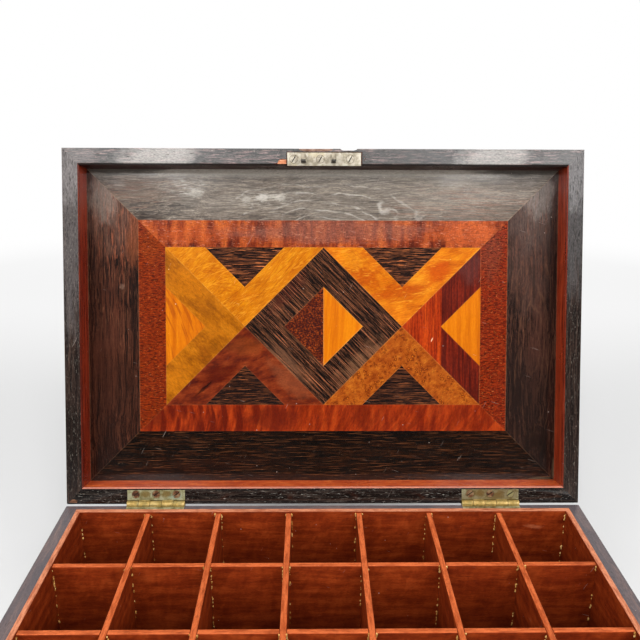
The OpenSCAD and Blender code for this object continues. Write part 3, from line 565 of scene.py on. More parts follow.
# Parquetry of two square tiles
AMBER = dict(line=("#e0a850", 0.12), scratches=0.1, pale="#f7deb0")
YELLOW = dict(length=60.0, width=3.0, wander=4.0, fibre=0.3, scratches=0.1, pale="#f9e4b8")
finish["vee_upper_left"] = wood(
    "satinwood", ["#934c02", "#a15a03", "#ab6305", "#b16f09"], angle=40.0, length=30.0, width=2.6,
    wander=8.0, fibre=0.4, figure=(7.0, 2.5, 20.0, 0.5), pores=("#773902", 0.3, 0.4), seed=9.0,
    border=in_vee(0, LEFT_TILE), grit=0.07, layers=(
        patch(-22.0, 36.0, 16.0, 2.2, 45, "#964b02", 0.5),
        patch(-12.0, 50.0, 10.0, 1.6, 45, "#9c5002", 0.5), patch(-52.0, 20.0, 11.0, 3.5, 8, "#994a02", 0.5),
        patch(-70.0, 36.0, 12.0, 2.5, 12, "#9e5002", 0.35),
        streaks("#834102", 0.9, 12.0, 47.0, 0.55, 0.6, 1.2),
        streaks("#e0a23a", 0.6, 9.0, 42.0, 0.6, 0.3, seed=3.0),
        streaks("#8a3c02", 2.4, 13.0, -8.0, 0.54, 0.5, 1.6, 5.0, within=(-72.0, 34.0, 30.0, 22.0, 0)),
        streaks("#8f4002", 2.2, 14.0, 52.0, 0.53, 0.5, 1.6, 6.0, within=(-22.0, 34.0, 34.0, 24.0, 0)),
        streaks("#c8841c", 2.0, 12.0, 20.0, 0.56, 0.45, 1.6, 7.0)), **AMBER)
finish["vee_left"] = wood(
    "olive_satinwood", ["#753f04", "#874a04", "#925205", "#9c5b0a"], angle=-42.0, length=16.0, width=6.0,
    wander=8.0, fibre=0.2, pores=("#562b02", 0.3, 0.4), seed=10.0, border=in_vee(1, LEFT_TILE),
    line=("#c89a48", 0.1), scratches=0.1, pale="#ecd9ae", grit=0.13, layers=(
        patch(-80.0, -20.0, 5.0, 9.0, 30, "#6a3303", 0.6),
        patch(-92.0, 30.0, 16.0, 10.0, -45, "#a05a04", 0.5),
        patch(-98.0, -34.0, 9.0, 7.0, 0, "#a66009", 0.5),
        streaks("#643603", 1.6, 7.0, -60.0, 0.54, 0.3, 1.6)))
finish["vee_lower_left"] = wood(
    "flame_mahogany", ["#380c07", "#4f1809", "#63220c", "#743013"], angle=14.0, length=12.0, width=4.5,
    wander=12.0, figure=(9.0, 1.8, 30.0, 0.3), seed=11.0, border=in_vee(2, LEFT_TILE),
    line=("#a8603a", 0.2), fibre=0.15, grit=0.12, layers=(
        patch(-53.0, -13.0, 16.0, 7.0, 0, "#612b0e", 0.5),
        patch(-70.0, -32.0, 15.0, 6.0, 20, "#400a02", 0.75),
        patch(-81.0, -42.0, 9.0, 1.2, 40, "#170402", 0.8),
        patch(-22.0, -37.0, 22.0, 8.0, -45, "#6e3a22", 0.5)))
finish["vee_upper_right"] = wood(
    "amber_satinwood", ["#8f4104", "#a55206", "#b16208", "#bb7212"], angle=8.0, length=18.0, width=3.4,
    wander=10.0, fibre=0.3, figure=(8.0, 2.0, 30.0, 0.45), pores=("#6f2c02", 0.3, 0.4), seed=12.0,
    border=in_vee(0, RIGHT_TILE), grit=0.09, layers=(
        patch(28.0, 34.0, 15.0, 7.0, -30, "#8f3402", 0.65), patch(56.0, 25.0, 20.0, 4.5, 8, "#953904", 0.6),
        patch(78.0, 37.0, 12.0, 7.0, 40, "#a03a02", 0.65), patch(53.0, 9.0, 9.0, 6.0, 0, "#be690c", 0.5),
        patch(10.0, 49.0, 10.0, 5.0, -45, "#be6a0c", 0.5), patch(50.0, 23.0, 24.0, 7.0, 0, "#8f3403", 0.5),
        patch(20.0, 45.0, 10.0, 8.0, -45, "#b8740f", 0.5),
        streaks("#823302", 1.0, 12.0, 22.0, 0.56, 0.35, 1.2),
        streaks("#8a3a02", 2.6, 14.0, -38.0, 0.54, 0.45, 1.6, 5.0, within=(26.0, 34.0, 30.0, 22.0, 0)),
        streaks("#d08a22", 2.2, 12.0, 10.0, 0.57, 0.4, 1.6, 7.0)), **AMBER)


def padauk_zones(s, base, spot):
    """Bright sapwood side to the left of a straight edge, striped dark heart to its right"""
    x, y, _ = s.split(spot)
    lines = s.smooth(s.noise(s.vector("DIVIDE", spot, (0.75, 26.0, 9.0)), 1.0, 1.0), 0.46, 0.62)
    broad = s.noise(s.vector("DIVIDE", spot, (4.0, 50.0, 9.0)), 1.0, 1.0)
    bright = s.ramp(broad, (0.3, "#7c2106"), (0.5, "#8c2a07"), (0.7, "#9c3509"))
    bright = s.mix(s.times(lines, 0.7), bright, "#5e1304")
    dark = s.ramp(s.noise(s.vector("DIVIDE", spot, (1.4, 34.0, 9.0)), 1.0, 3.0, 0.6),
                  (0.34, "#380c07"), (0.5, "#4c1208"), (0.66, "#66190a"))
    return s.mix(s.smooth(x, 79.6, 81.0), bright, dark)


finish["vee_right"] = wood(
    "padauk", ["#5a1a12", "#802a16"], angle=90.0, seed=13.0, border=in_vee(3, RIGHT_TILE),
    line=("#c06a3a", 0.25), pores=("#2a0a06", 0.4, 0.35), grit=0.16, layers=(
        padauk_zones, patch(100.0, 42.0, 9.0, 14.0, 0, "#4e2a26", 0.5),
        patch(74.0, -9.0, 0.5, 1.6, -20, "#d9a27c", 0.8)))


def burr_eyes(s, base, spot):
    """Close clusters of small eyes, each with a dark ring, among curling lines"""
    curls = s.noise(spot, 0.3, 3.0, 0.6, 2.8)
    curls = s.math("ABSOLUTE", s.minus(curls, 0.5))
    base = s.mix(s.smooth(curls, 0.05, 0.0, 0.0, 0.5), base, "#5e2405")
    drift = s.add("TexNoise", {"Vector": spot, "Scale": 0.5, "Detail": 2.0}).outputs["Color"]
    drift = s.vector("MULTIPLY", s.vector("SUBTRACT", drift, (0.5, 0.5, 0.5)), (2.6, 2.6, 0.0))
    cells = s.cells(s.vector("ADD", spot, drift), 0.46)
    picked = s.smooth(s.split(cells["Color"])[1], 0.25, 0.4)
    cluster = s.smooth(s.noise(s.vector("ADD", spot, (11.0, 5.0, 0.0)), 0.065, 2.0), 0.42, 0.52)
    mask = s.times(picked, cluster)
    ring = s.times(s.smooth(cells["Distance"], 0.56, 0.42), s.smooth(cells["Distance"], 0.16, 0.3))
    dot = s.smooth(cells["Distance"], 0.24, 0.1)
    base = s.mix(s.times(ring, s.times(mask, 0.8)), base, "#5a2004")
    return s.mix(s.times(dot, s.times(mask, 0.7)), base, "#b4610f")


finish["vee_lower_right"] = wood(
    "burr_amboyna", ["#6e2c05", "#853c0b", "#934910", "#a05815"], angle=30.0, length=7.0, width=4.0,
    wander=14.0, figure=(4.0, 1.4, 60.0, 0.4), seed=14.0, border=in_vee(2, RIGHT_TILE),
    line=("#d08a40", 0.2), grit=0.1, layers=(burr_eyes,))
finish["diamond_band"] = wood(
    "striped_coromandel_band", ["#080505", "#190e0a", "#321d12", "#532f1b"], angle=-45.0, length=20.0,
    width=2.0, wander=4.0, fibre=0.5, seed=15.0, border=in_vee(0, 0.0, "Diamond"), line=("#8a5a34", 0.25),
    pores=("#080505", 0.5, 0.6), grit=0.16, layers=(
        patch(-24.0, 24.0, 22.0, 6.0, 45, "#3c150d", 0.6),
        patch(28.0, -27.0, 26.0, 12.0, 45, "#80583c", 0.42),
        patch(-30.0, -26.0, 26.0, 12.0, -45, "#785038", 0.42),
        streaks("#060404", 1.1, 45.0, -45.0, 0.5, 0.75), streaks("#a06140", 0.42, 34.0, -45.0, 0.58, 0.75),
        streaks("#a06140", 0.35, 14.0, -47.0, 0.62, 0.6, seed=2.0)))
finish["dark_triangles"] = wood(
    "striped_coromandel", ["#0d0705", "#23130e", "#482514", "#6f3d1f"], length=20.0, width=1.4, wander=6.0,
    fibre=0.5, seed=16.0, pores=("#0d0705", 0.5, 0.6), grit=0.12, layers=(
        streaks("#090404", 1.3, 16.0, 0.0, 0.5, 0.85), streaks("#d37945", 0.45, 12.0, 0.0, 0.6, 0.75),
        patch(0.0, -44.0, 130.0, 15.0, 0, "#170d0b", 0.62)))


def pebbled(s, base, spot):
    """Close pebbly flecks"""
    cells = s.cells(s.vector("DIVIDE", spot, (1.25, 0.85, 1.0)), 1.0)
    fleck = s.smooth(cells["Distance"], 0.25, 0.65)
    return s.mix(s.times(fleck, 0.95), base, "#2c0d0a")


finish["diamond_left_half"] = wood(
    "snakewood", ["#471506", "#5e2109", "#722c0d", "#813811"], length=5.0, width=2.5, wander=3.0, seed=17.0,
    border=in_vee(3, LEFT_TILE, "Triangle"), line=("#8a5030", 0.25), grit=0.22, layers=(pebbled,))
finish["diamond_right_half"] = wood(
    "yellow_satinwood_half", ["#a35002", "#ae5a02", "#b36102", "#b96a04"], angle=86.0,
    pores=("#9b4b02", 0.2, 0.3), seed=18.0, border=in_vee(1, RIGHT_TILE, "Triangle"),
    line=("#f0b860", 0.3), grit=0.04, **YELLOW)


def steep_streaks(s, base, spot):
    """Dark slanting streaks on the left-hand triangle alone"""
    x, y, _ = s.split(spot)
    bow = s.times(s.times(y, y), 0.004)
    leaned = s.plus(s.plus(x, s.times(y, 0.36)), bow)
    lines = s.noise(s.join(s.math("DIVIDE", leaned, 1.7), s.math("DIVIDE", y, 24.0), 3.0), 1.0, 1.0, 0.5)
    mask = s.times(s.smooth(lines, 0.52, 0.6), s.smooth(x, 0.0, -1.0))
    return s.mix(s.times(mask, 0.8), base, "#8f4204")


finish["yellow_triangles"] = wood(
    "yellow_satinwood", ["#9d4c02", "#a65503", "#af5d03", "#b56506"], angle=92.0,
    pores=("#8c4502", 0.2, 0.3), seed=19.0, grit=0.05, layers=(steep_streaks,), **YELLOW)

# Rails of the lid, walls of the base
OUTSIDE = dict(pores=("#0f0b0a", 0.5, 0.5), rough=0.34, coat=0.5, coat_roughness=0.2)
OUTSIDE_GRAIN = dict(length=70.0, width=4.0, wander=16.0)
OUTSIDE_TONES = ["#1f1613", "#3a2a23", "#583f33", "#7c5a48"]


def worn_and_lit_rim(s, base, spot):
    """The walls' upper faces, greyer than their sides: partly rubbed wear, partly painted light from the lamp
    overhead
    """
    _, height, _ = s.split(spot)
    return s.mix(s.smooth(height, RIM - 0.6, RIM - 0.3, 0.0, 0.6), base, "#595357")


def rosewood_outside(upright, seed):
    """A layer that gives a rail's outer face the rosewood of the walls"""
    def lay(s, base, spot):
        x, y, out = s.split(spot)
        across, along = (x, y) if upright else (y, x)
        beside = s.minus(s.math("ABSOLUTE", x), HALF_WIDTH)
        beyond = s.minus(s.math("ABSOLUTE", s.minus(y, LID_MID)), HALF_DEPTH)
        face = s.smooth(s.math("MAXIMUM", beside, beyond), -0.12, -0.04)
        along = s.plus(along, seed * 137.0)
        grain = s.group(WOOD_GRAIN, vector=s.join(along, out, across), pores=0.5, **OUTSIDE_GRAIN)
        return s.mix(face, base, s.spread(grain["Tone"], OUTSIDE_TONES))
    return lay


RAIL_TONES = ["#100a08", "#1b1310", "#291e19", "#3b2d26"]
SIDE_RAIL = dict(angle=90.0, length=50.0, width=1.6, wander=4.0, pores=("#5b534d", 0.3, 0.4), grit=0.2)
finish["lid_front_rail"] = wood(
    "ebonised_rail_upper", ["#110d0a", "#211c19", "#2e2927", "#3d3834"], length=50.0, width=1.6, wander=4.0,
    seed=20.0, pores=("#030202", 0.6, 0.6), coat_roughness=0.32, rough=0.32, specular=0.285, grit=0.2,
    layers=(
        streaks("#060403", 0.38, 1.7, 0.0, 0.54, 0.75),
        streaks("#706a61", 0.4, 2.4, 0.0, 0.6, 0.55, seed=2.0),
        streaks("#8c706c", 0.8, 10.0, 0.0, 0.52, 0.5, seed=6.0),
        streaks("#000000", 0.6, 7.0, 0.0, 0.54, 0.6, seed=7.0),
        # The pale grey patches are painted glare from the lamps
        patch(-160.0, 112.0, 14.0, 8.0, 0, "#57504e", 0.5),
        patch(-106.0, 111.0, 28.0, 20.0, 0, "#98938d", 0.55),
        patch(-76.0, 111.0, 14.0, 18.0, 0, "#2a2624", 0.15),
        patch(66.0, 111.0, 32.0, 24.0, 0, "#120f0d", 0.5),
        patch(112.0, 111.0, 26.0, 18.0, 0, "#a09b95", 0.45),
        patch(156.0, 112.0, 20.0, 8.0, 0, "#5a5858", 0.2), rosewood_outside(False, 41.0)))
finish["lid_rear_rail"] = wood(
    "ebonised_rail_lower", ["#0c0908", "#171311", "#221c19", "#352c26"], length=26.0, width=1.3, wander=3.0,
    seed=21.0, pores=("#6b5b4f", 0.45, 0.5), grit=0.2, layers=(
        streaks("#040303", 0.8, 9.0, 0.0, 0.5, 0.7), streaks("#a9a49b", 0.35, 3.5, 0.0, 0.64, 0.7),
        streaks("#847a6f", 0.3, 2.0, 20.0, 0.66, 0.6, seed=4.0), rosewood_outside(False, 42.0)))
finish["lid_left_rail"] = wood(
    "ebonised_rail_left", RAIL_TONES, seed=22.0, layers=(
        # The first two grey patches are painted sheen from the lamps
        patch(-165.0, 70.0, 10.0, 76.0, 0, "#565150", 0.6),
        patch(-165.0, 108.0, 14.0, 28.0, 0, "#706b6a", 0.6),
        patch(-165.0, -74.0, 12.0, 32.0, 0, "#0c0908", 0.5), streaks("#070504", 0.45, 4.5, 90.0, 0.54, 0.6),
        streaks("#7d776d", 0.4, 2.4, 90.0, 0.61, 0.4, seed=2.0), rosewood_outside(True, 43.0)), **SIDE_RAIL)
finish["lid_right_rail"] = wood(
    "ebonised_rail_right", RAIL_TONES, seed=23.0, layers=(
        # The two grey patches are painted sheen from the lamps
        patch(165.0, 80.0, 14.0, 60.0, 0, "#484646", 0.6),
        patch(165.0, 106.0, 14.0, 30.0, 0, "#757272", 0.55), streaks("#070504", 0.45, 4.5, 90.0, 0.54, 0.6),
        streaks("#7d776d", 0.4, 2.4, 90.0, 0.61, 0.4, seed=5.0), rosewood_outside(True, 44.0)), **SIDE_RAIL)


def front_edge(tint, strength):
    """A layer for the narrow front edge of a thin facing"""
    def lay(s, base, spot):
        _, _, out = s.split(spot)
        return s.mix(s.smooth(out, -1.3, -0.7, 0.0, strength), base, tint)
    return lay


SIDE_FACING = dict(angle=90.0, length=60.0, width=3.0, specks=0.15, fibre=0.4)
finish["left_facing"] = wood(
    "facing_left", ["#581409", "#6c1c0c", "#7e2711", "#92341a"], seed=24.0, layers=(
        streaks("#300a04", 0.9, 16.0, 90.0, 0.53, 0.5), patch(-159.5, 92.0, 6.0, 30.0, 0, "#8a3018", 0.5),
        front_edge("#2a0f09", 0.7)), **SIDE_FACING)
finish["right_facing"] = wood(
    "facing_right", ["#621a0a", "#7c260e", "#903216", "#a64020"], seed=27.0,
    layers=(streaks("#380c05", 0.9, 16.0, 90.0, 0.52, 0.55), front_edge("#2a0f09", 0.6)), **SIDE_FACING)
# The upper facing looks down: its dark tones and its darker front edge are painted shade
finish["front_facing"] = wood(
    "facing_upper", ["#24100c", "#2f1a16", "#3b2622", "#4a3430"], length=40.0, width=3.0, seed=25.0,
    coat=0.08, grit=0.12, layers=(front_edge("#0e0907", 0.95),))
# The lower facing looks up: its lighter tones and its pale front edge are painted light
finish["rear_facing"] = wood(
    "facing_lower", ["#8a2c0a", "#a03a10", "#b04818", "#be5622"], length=40.0, width=3.0, seed=26.0,
    coat=0.45, figure=(8.0, 2.0, 60.0, 0.3), specks=0.15, grit=0.12, layers=(
        streaks("#e07636", 0.9, 9.0, 3.0, 0.55, 0.6),
        streaks("#7e2406", 1.2, 14.0, 2.0, 0.53, 0.5, seed=2.0), front_edge("#a87c6e", 0.6)))


def box_side(s):
    """Millimetres with the height as the second axis, for walls that run left and right"""
    x, y, z = s.split(box_place(s))
    return s.join(x, z, y)


def box_end(s):
    """Millimetres with the height as the second axis, for walls that run front and rear"""
    x, y, z = s.split(box_place(s))
    return s.join(y, z, x)


for side, place, seed in (("front", box_side, 30.0), ("rear", box_side, 31.0),
                          ("left", box_end, 32.0), ("right", box_end, 33.0)):
    # Their upper faces carry wear and painted light from overhead
    finish[side + "_wall"] = wood("rosewood_" + side, OUTSIDE_TONES, place=place, seed=seed,
                                  layers=(worn_and_lit_rim,), **OUTSIDE_GRAIN, **OUTSIDE)
finish["lid_top_board"] = wood(
    "rosewood_lid", OUTSIDE_TONES, length=80.0, width=6.0, wander=30.0, seed=34.0, **OUTSIDE)
finish["bottom_board"] = wood(
    "deal", ["#8a6a45", "#a98558", "#bd9a6a", "#cbaa7c"], place=box_place, length=90.0, width=4.0,
    wander=10.0, seed=35.0, coat=0.0, rough=0.7)
LINING_TONES = ["#571a08", "#66220b", "#742a0e", "#843514"]


def worn_and_lit_top(level, tint):
    """A layer for the upper edge of a thin board, paler than its faces: partly bare worn wood, partly painted
    light from overhead
    """
    def lay(s, base, spot):
        _, height, _ = s.split(spot)
        uneven = s.noise(s.vector("DIVIDE", spot, (9.0, 1.5, 1.5)), 1.0, 3.0, 0.6)
        uneven = s.smooth(uneven, 0.3, 0.65, 0.35, 0.95)
        mask = s.times(s.smooth(height, level - 0.45, level - 0.15), uneven)
        return s.mix(mask, base, tint)
    return lay


BOARD = dict(length=30.0, width=4.0, wander=8.0, coat=0.05, rough=0.55, fibre=0.25,
             figure=(6.0, 1.5, 70.0, 0.3))
# The linings' and dividers' upper edges carry wear and painted light from overhead
finish["rear_lining"] = finish["front_lining"] = wood(
    "lining_across", LINING_TONES, place=box_side, seed=36.0,
    layers=(patch(139.0, 68.0, 7.0, 1.6, -8, "#a05c3c", 0.4), worn_and_lit_top(RIM, "#bd7a5a")), **BOARD)
finish["left_lining"] = finish["right_lining"] = wood(
    "lining_along", LINING_TONES, place=box_end, seed=37.0, layers=(worn_and_lit_top(RIM, "#bd7a5a"),), **BOARD)
for board, name, place, seed in (("cross_divider", "divider_along", box_end, 38.0),
                                 ("long_divider", "divider_across", box_side, 39.0)):
    material = wood(name, LINING_TONES, place=place, seed=seed,
                    layers=(worn_and_lit_top(DIVIDER_TOP, "#b75c32"),), **BOARD)
    finish.update({node: material for node in nodes if node.startswith(board)})


def metal(name, tones, rough=0.4, metallic=0.9, stain=None, seed=0.0, cloudy=0.25, layers=()):
    """An old metal with cloudy tarnish, fine scratches and stains. layers work on the lid's millimetres."""
    material, s, surface = start_material(name, 0.5, metallic=metallic)
    spot = s.vector("ADD", box_place(s), (seed * 53.0, seed * 31.0, seed * 17.0))
    cloud = s.smooth(s.noise(spot, cloudy, 4.0, 0.65), 0.32, 0.68)
    base = s.spread(cloud, tones)
    if stain:
        stained = s.smooth(s.noise(spot, 0.12, 3.0, 0.7), 0.54, 0.66)
        base = s.mix(s.times(stained, 0.7), base, stain)
    fine = s.noise(s.vector("DIVIDE", spot, (6.0, 0.5, 0.5)), 1.0, 2.0)
    base = s.mix(s.smooth(fine, 0.6, 0.75, 0.0, 0.25), base, tones[0])
    for layer in layers:
        base = layer(s, base, lid_place(s))
    s.feed(surface["Base Color"], base)
    s.feed(surface["Roughness"], s.plus(rough, s.smooth(cloud, 0.0, 1.0, 0.12, -0.08)))
    relief = s.add("Bump", {"Height": fine, "Distance": 0.00003, "Strength": 0.6}).outputs[0]
    s.feed(surface["Normal"], relief)
    return material


SCREW_STEP = 13.4  # from a hinge screw to the next
hinge_screws = [(side * HINGE_X + step * SCREW_STEP, SCREW_ROW) for side in (-1, 1) for step in (-1, 0, 1)]
strike_screws = [(across, 109.95) for across in (-19.8, -2.5, 17.0)]


def dirt_and_shade_in_slots(s, base, spot):
    """Dirt and painted shade below the faces of screw heads, in their slots"""
    _, _, out = s.split(spot)
    return s.mix(s.smooth(out, -0.3, -0.5, 0.0, 0.9), base, "#1c140e")


def dirt_and_shade_rims(centres, radius, tint, strength):
    """A layer with a thin dark ring round each screw head: dirt and painted shade where head and plate meet
    """
    def lay(s, base, spot):
        for x, y in centres:
            away = s.vector("MULTIPLY", s.vector("SUBTRACT", spot, (x, y, 0.0)), (1.0, 1.0, 0.0))
            from_ring = s.math("ABSOLUTE", s.minus(s.vector("LENGTH", away), radius))
            base = s.mix(s.smooth(from_ring, 0.34, 0.12, 0.0, strength), base, tint)
        return base
    return lay


def golden_knuckles(s, base, spot):
    """Brass rubbed bright round the hinge pin, with painted shade along the barrel's lower side"""
    _, y, out = s.split(spot)
    from_pin = s.vector("LENGTH", s.join(0.0, s.plus(y, PANEL_MID), out))
    rubbed = s.ramp(s.noise(spot, 0.4, 3.0, 0.6), (0.35, "#7d6a34"), (0.5, "#8f7434"), (0.62, "#a88a4c"))
    # Painted shade along the lower side of the barrel
    rubbed = s.mix(s.smooth(s.plus(y, PANEL_MID), -0.7, -1.4, 0.0, 0.8), rubbed, "#3a2c12")
    return s.mix(s.smooth(from_pin, 3.2, 2.4, 0.0, 0.85), base, rubbed)


def dark_underside(s, base, spot):
    """Shade and dirt on the lower part of the links' ends"""
    _, y, _ = s.split(spot)
    return s.mix(s.smooth(y, 108.6, 108.2, 0.0, 0.9), base, "#1d1914")


leaf_stains = [patch(side * HINGE_X + step * SCREW_STEP / 2, SCREW_ROW + 0.3, 4.2, 2.4, 0, "#6d5422", 0.75)
               for side in (-1, 1) for step in (-1, 1)]
finish["hinge_lid_leaves"] = finish["hinge_base_leaves"] = metal(
    "tarnished_brass", ["#625c3a", "#7f7c59", "#949270", "#a7a688"], seed=1.0, metallic=0.55, rough=0.5,
    layers=(
        *leaf_stains, patch(-98.0, -112.0, 5.0, 2.0, 0, "#8da394", 0.6),
        patch(-118.0, -113.6, 6.0, 1.0, 0, "#6a6444", 0.6),
        patch(HINGE_X, -111.0, 30.0, 10.0, 0, "#5c4015", 0.62),
        patch(-HINGE_X, -111.0, 30.0, 10.0, 0, "#6a5c30", 0.2),
        dirt_and_shade_rims(hinge_screws, 2.6, "#4a3a20", 0.5), golden_knuckles))
finish["escutcheon"] = metal(
    "worn_brass", ["#7d7440", "#9c9a6a", "#b9b585", "#cfcaa0"], stain="#948a3c", seed=6.0, metallic=0.75)
finish["hinge_pins"] = finish["lock_bolt"] = finish["lock_spring"] = metal(
    "pin_brass", ["#8a7a48", "#b59d62", "#d3bd86"], seed=2.0, rough=0.5)
finish["lid_hinge_screws"] = finish["base_screws"] = metal(
    "screw_copper", ["#3c2113", "#6b4227", "#8f7455"], seed=3.0, metallic=0.5,
    layers=(patch(124.4, SCREW_ROW, 3.6, 3.6, 0, "#8a845a", 0.85), dirt_and_shade_in_slots))
NICKEL_TONES = ["#837a68", "#958c7a", "#a1988a", "#aea694"]
finish["strike_plate"] = metal(
    "white_metal", NICKEL_TONES, rough=0.55, metallic=0.2, stain="#a89c80", seed=4.0, cloudy=0.3,
    layers=(dirt_and_shade_rims(strike_screws, 2.6, "#4d4030", 0.75),))
finish["strike_links"] = metal(
    "link_metal", ["#6c6353", "#857b69", "#958b79"], rough=0.55, metallic=0.2, seed=7.0,
    layers=(dark_underside,))
finish["lock_plate"] = finish["lock_cap"] = metal(
    "lock_metal", NICKEL_TONES, rough=0.5, metallic=0.35, stain="#9a8f74", seed=8.0, cloudy=0.12)
finish["strike_screws"] = metal(
    "screw_metal", NICKEL_TONES, rough=0.55, metallic=0.2, seed=5.0, cloudy=0.5, layers=(dirt_and_shade_in_slots,))

for name, node in nodes.items():
    node.data.materials.clear()
    node.data.materials.append(finish[name])

# ---------- eased and chipped copies of the wooden pieces ----------

def new_piece(name, shape, body, material):
    """A new piece from a bmesh, riding on a body"""
    mesh = bpy.data.meshes.new(name)
    shape.to_mesh(mesh)
    shape.free()
    piece = bpy.data.objects.new(name, mesh)
    scene.collection.objects.link(piece)
    mesh.materials.append(material)
    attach(piece, body)
    return piece


def merged(name):
    """A node's mesh with its triangles joined into flat faces"""
    shape = bmesh.new()
    shape.from_mesh(nodes[name].data)
    bmesh.ops.remove_doubles(shape, verts=shape.verts, dist=1e-6)
    bmesh.ops.dissolve_limit(shape, angle_limit=math.radians(1), verts=shape.verts, edges=shape.edges)
    bmesh.ops.recalc_face_normals(shape, faces=shape.faces)
    return shape


def eased(name, body, width, chosen, cutters=None):
    """Rounds a node's chosen edges, takes the cutters out of it, and puts the result in the node's place.
    Edges of mitred ends stay sharp, so that joints stay closed."""
    shape = merged(name)
    edges = []
    for edge in shape.edges:
        mitred = any(0.5 < abs(face.normal.x) < 0.9 for face in edge.link_faces)
        middle = (edge.verts[0].co + edge.verts[1].co) / 2 / MM
        if not mitred and edge.calc_face_angle() > math.radians(40) and chosen(middle):
            edges.append(edge)
    bmesh.ops.bevel(shape, geom=edges, offset=width * MM, affect="EDGES", segments=2, profile=0.5,
                    material=-1, clamp_overlap=True)
    piece = new_piece(name + "_eased", shape, body, finish[name])
    if cutters:
        cut = piece.modifiers.new("chips", "BOOLEAN")
        cut.operation, cut.object, cut.solver, cut.material_mode = "DIFFERENCE", cutters, "EXACT", "TRANSFER"
        chipped = bpy.data.meshes.new_from_object(piece.evaluated_get(bpy.context.evaluated_depsgraph_get()))
        piece.modifiers.clear()
        piece.data = chipped
        bpy.data.objects.remove(cutters)
    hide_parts(name)


def lid_point(across, up, into):
    """A point of the open lid in metres: across and up from the parquetry's middle, and into the wood
    from the face of the rails"""
    rise = up + PANEL_MID
    lean_y, lean_z = math.sin(LID_LEAN), math.cos(LID_LEAN)
    face = RAIL_FACE + into
    return Vector((across, PIN.y + rise * lean_y + face * lean_z, PIN.z + rise * lean_z - face * lean_y)) * MM


def prism(shape, outline, depths, look=0):
    """A closed block under an outline of (across, up) points, from just above the rails' face to each depth.
    look is the number of the cutter's material that the cut shows."""
    top = [shape.verts.new(lid_point(x, y, -1.0)) for x, y in outline]
    low = [shape.verts.new(lid_point(x, y, depth)) for (x, y), depth in zip(outline, depths)]
    made = [shape.faces.new(top), shape.faces.new(list(reversed(low)))]
    for i in range(len(outline)):
        j = (i + 1) % len(outline)
        made.append(shape.faces.new((top[j], top[i], low[i], low[j])))
    for face in made:
        face.material_index = look


def nick(shape, across, up, into, length, width, rng, look=0):
    """A small ragged lump that takes a nick out of an edge"""
    made = bmesh.ops.create_icosphere(shape, subdivisions=1, radius=1.0)["verts"]
    for face in {face for vert in made for face in vert.link_faces}:
        face.material_index = look
    for vert in made:
        spread = Vector((vert.co.x * width, vert.co.y * length, vert.co.z * width)) * rng.uniform(0.8, 1.2)
        vert.co = lid_point(across + spread.x, up + spread.y, into + spread.z)


def cutter(name, build, *materials):
    """A block or several that chips are cut with"""
    shape = bmesh.new()
    build(shape)
    bmesh.ops.recalc_face_normals(shape, faces=shape.faces)
    mesh = bpy.data.meshes.new(name)
    shape.to_mesh(mesh)
    shape.free()
    for material in materials:
        mesh.materials.append(material)
    block = bpy.data.objects.new(name, mesh)
    scene.collection.objects.link(block)
    return block


RAW = dict(width=1.0, wander=2.0, coat=0.0)
bare_wood = wood("bare_wood", ["#8e5030", "#a9694a", "#b97d5c", "#c99a7c"], length=6.0, seed=40.0,
                 rough=0.75, **RAW)
rubbed_wood = wood("rubbed_wood", ["#4d3226", "#694f43", "#7c6458", "#8c766b"], length=6.0, seed=42.0,
                   rough=0.75, **RAW)
worn_corner = wood("worn_corner", ["#2e1c14", "#4a3022", "#5d4030", "#705240"], length=3.0, seed=44.0,
                   rough=0.75, **RAW)
gap_dirt = wood("gap_dirt", ["#2a140e", "#4a2417", "#623222", "#784430"], length=6.0, seed=43.0,
                rough=0.8, **RAW)


BARE, RUBBED, DIRT = range(3)  # the materials of the front rail's cuts


def front_chips(shape):
    """The front rail's cuts, round the strike plate and in the edge above it"""
    inner, outer = RAIL_INNER - 0.8, RAIL_OUTER + 0.8
    # A torn chip left of the plate, with dirt along its far side
    prism(shape, [(PLATE_END, inner), (PLATE_END, 109.7), (-26.8, 110.0), (-28.6, 109.7), (-29.6, 108.9),
                  (-30.3, 107.4), (-30.5, inner)], [0.9, 0.8, 0.8, 0.7, 0.6, 0.5, 0.4], look=BARE)
    prism(shape, [(-30.6, inner), (-30.5, 107.4), (-33.4, 106.8), (-36.4, inner)],
          [0.5, 0.4, 0.3, 0.3], look=DIRT)
    # A worn stretch of the edge, and a bite out of it
    prism(shape, [(-17.0, outer), (6.5, outer), (5.0, 115.4), (1.5, 114.9), (-3.0, 115.1), (-8.0, 114.8),
                  (-13.0, 115.0), (-16.0, 115.6)], [1.6, 1.4, 0.5, 0.6, 0.5, 0.7, 0.5, 0.3], look=RUBBED)
    prism(shape, [(9.5, outer), (22.5, outer), (21.0, 116.0), (18.0, 115.3), (14.5, 115.1), (11.5, 115.8)],
          [9.0, 9.0, 4.0, 6.0, 6.0, 4.0], look=RUBBED)
    # The gap round the plate, and nicks right of it
    prism(shape, [(-24.5, inner), (-24.0, inner), (-24.0, 114.15), (24.0, 114.15), (24.0, inner),
                  (24.8, inner), (24.8, 114.7), (-24.5, 114.7)], [1.2] * 8, look=DIRT)
    rng = random.Random(9)
    for across, up in ((26.3, 111.8), (27.0, 110.4), (26.2, 109.4), (28.2, 111.0)):
        nick(shape, across, up, 0.1, 0.45, 0.4, rng, look=DIRT)


def corner_chip(shape):
    """A worn spot at the lower left corner, and nicks along the rail's inner edge"""
    prism(shape, [(-169.0, -115.9), (-163.5, -116.2), (-162.8, -114.6), (-165.5, -113.6), (-168.4, -114.2)],
          [0.5, 0.3, 0.3, 0.4, 0.3])
    rng = random.Random(5)
    for _ in range(7):
        nick(shape, rng.uniform(-150, 150), REAR_RAIL_INNER + 0.1, 0.1, 0.35, rng.uniform(0.5, 1.2), rng)


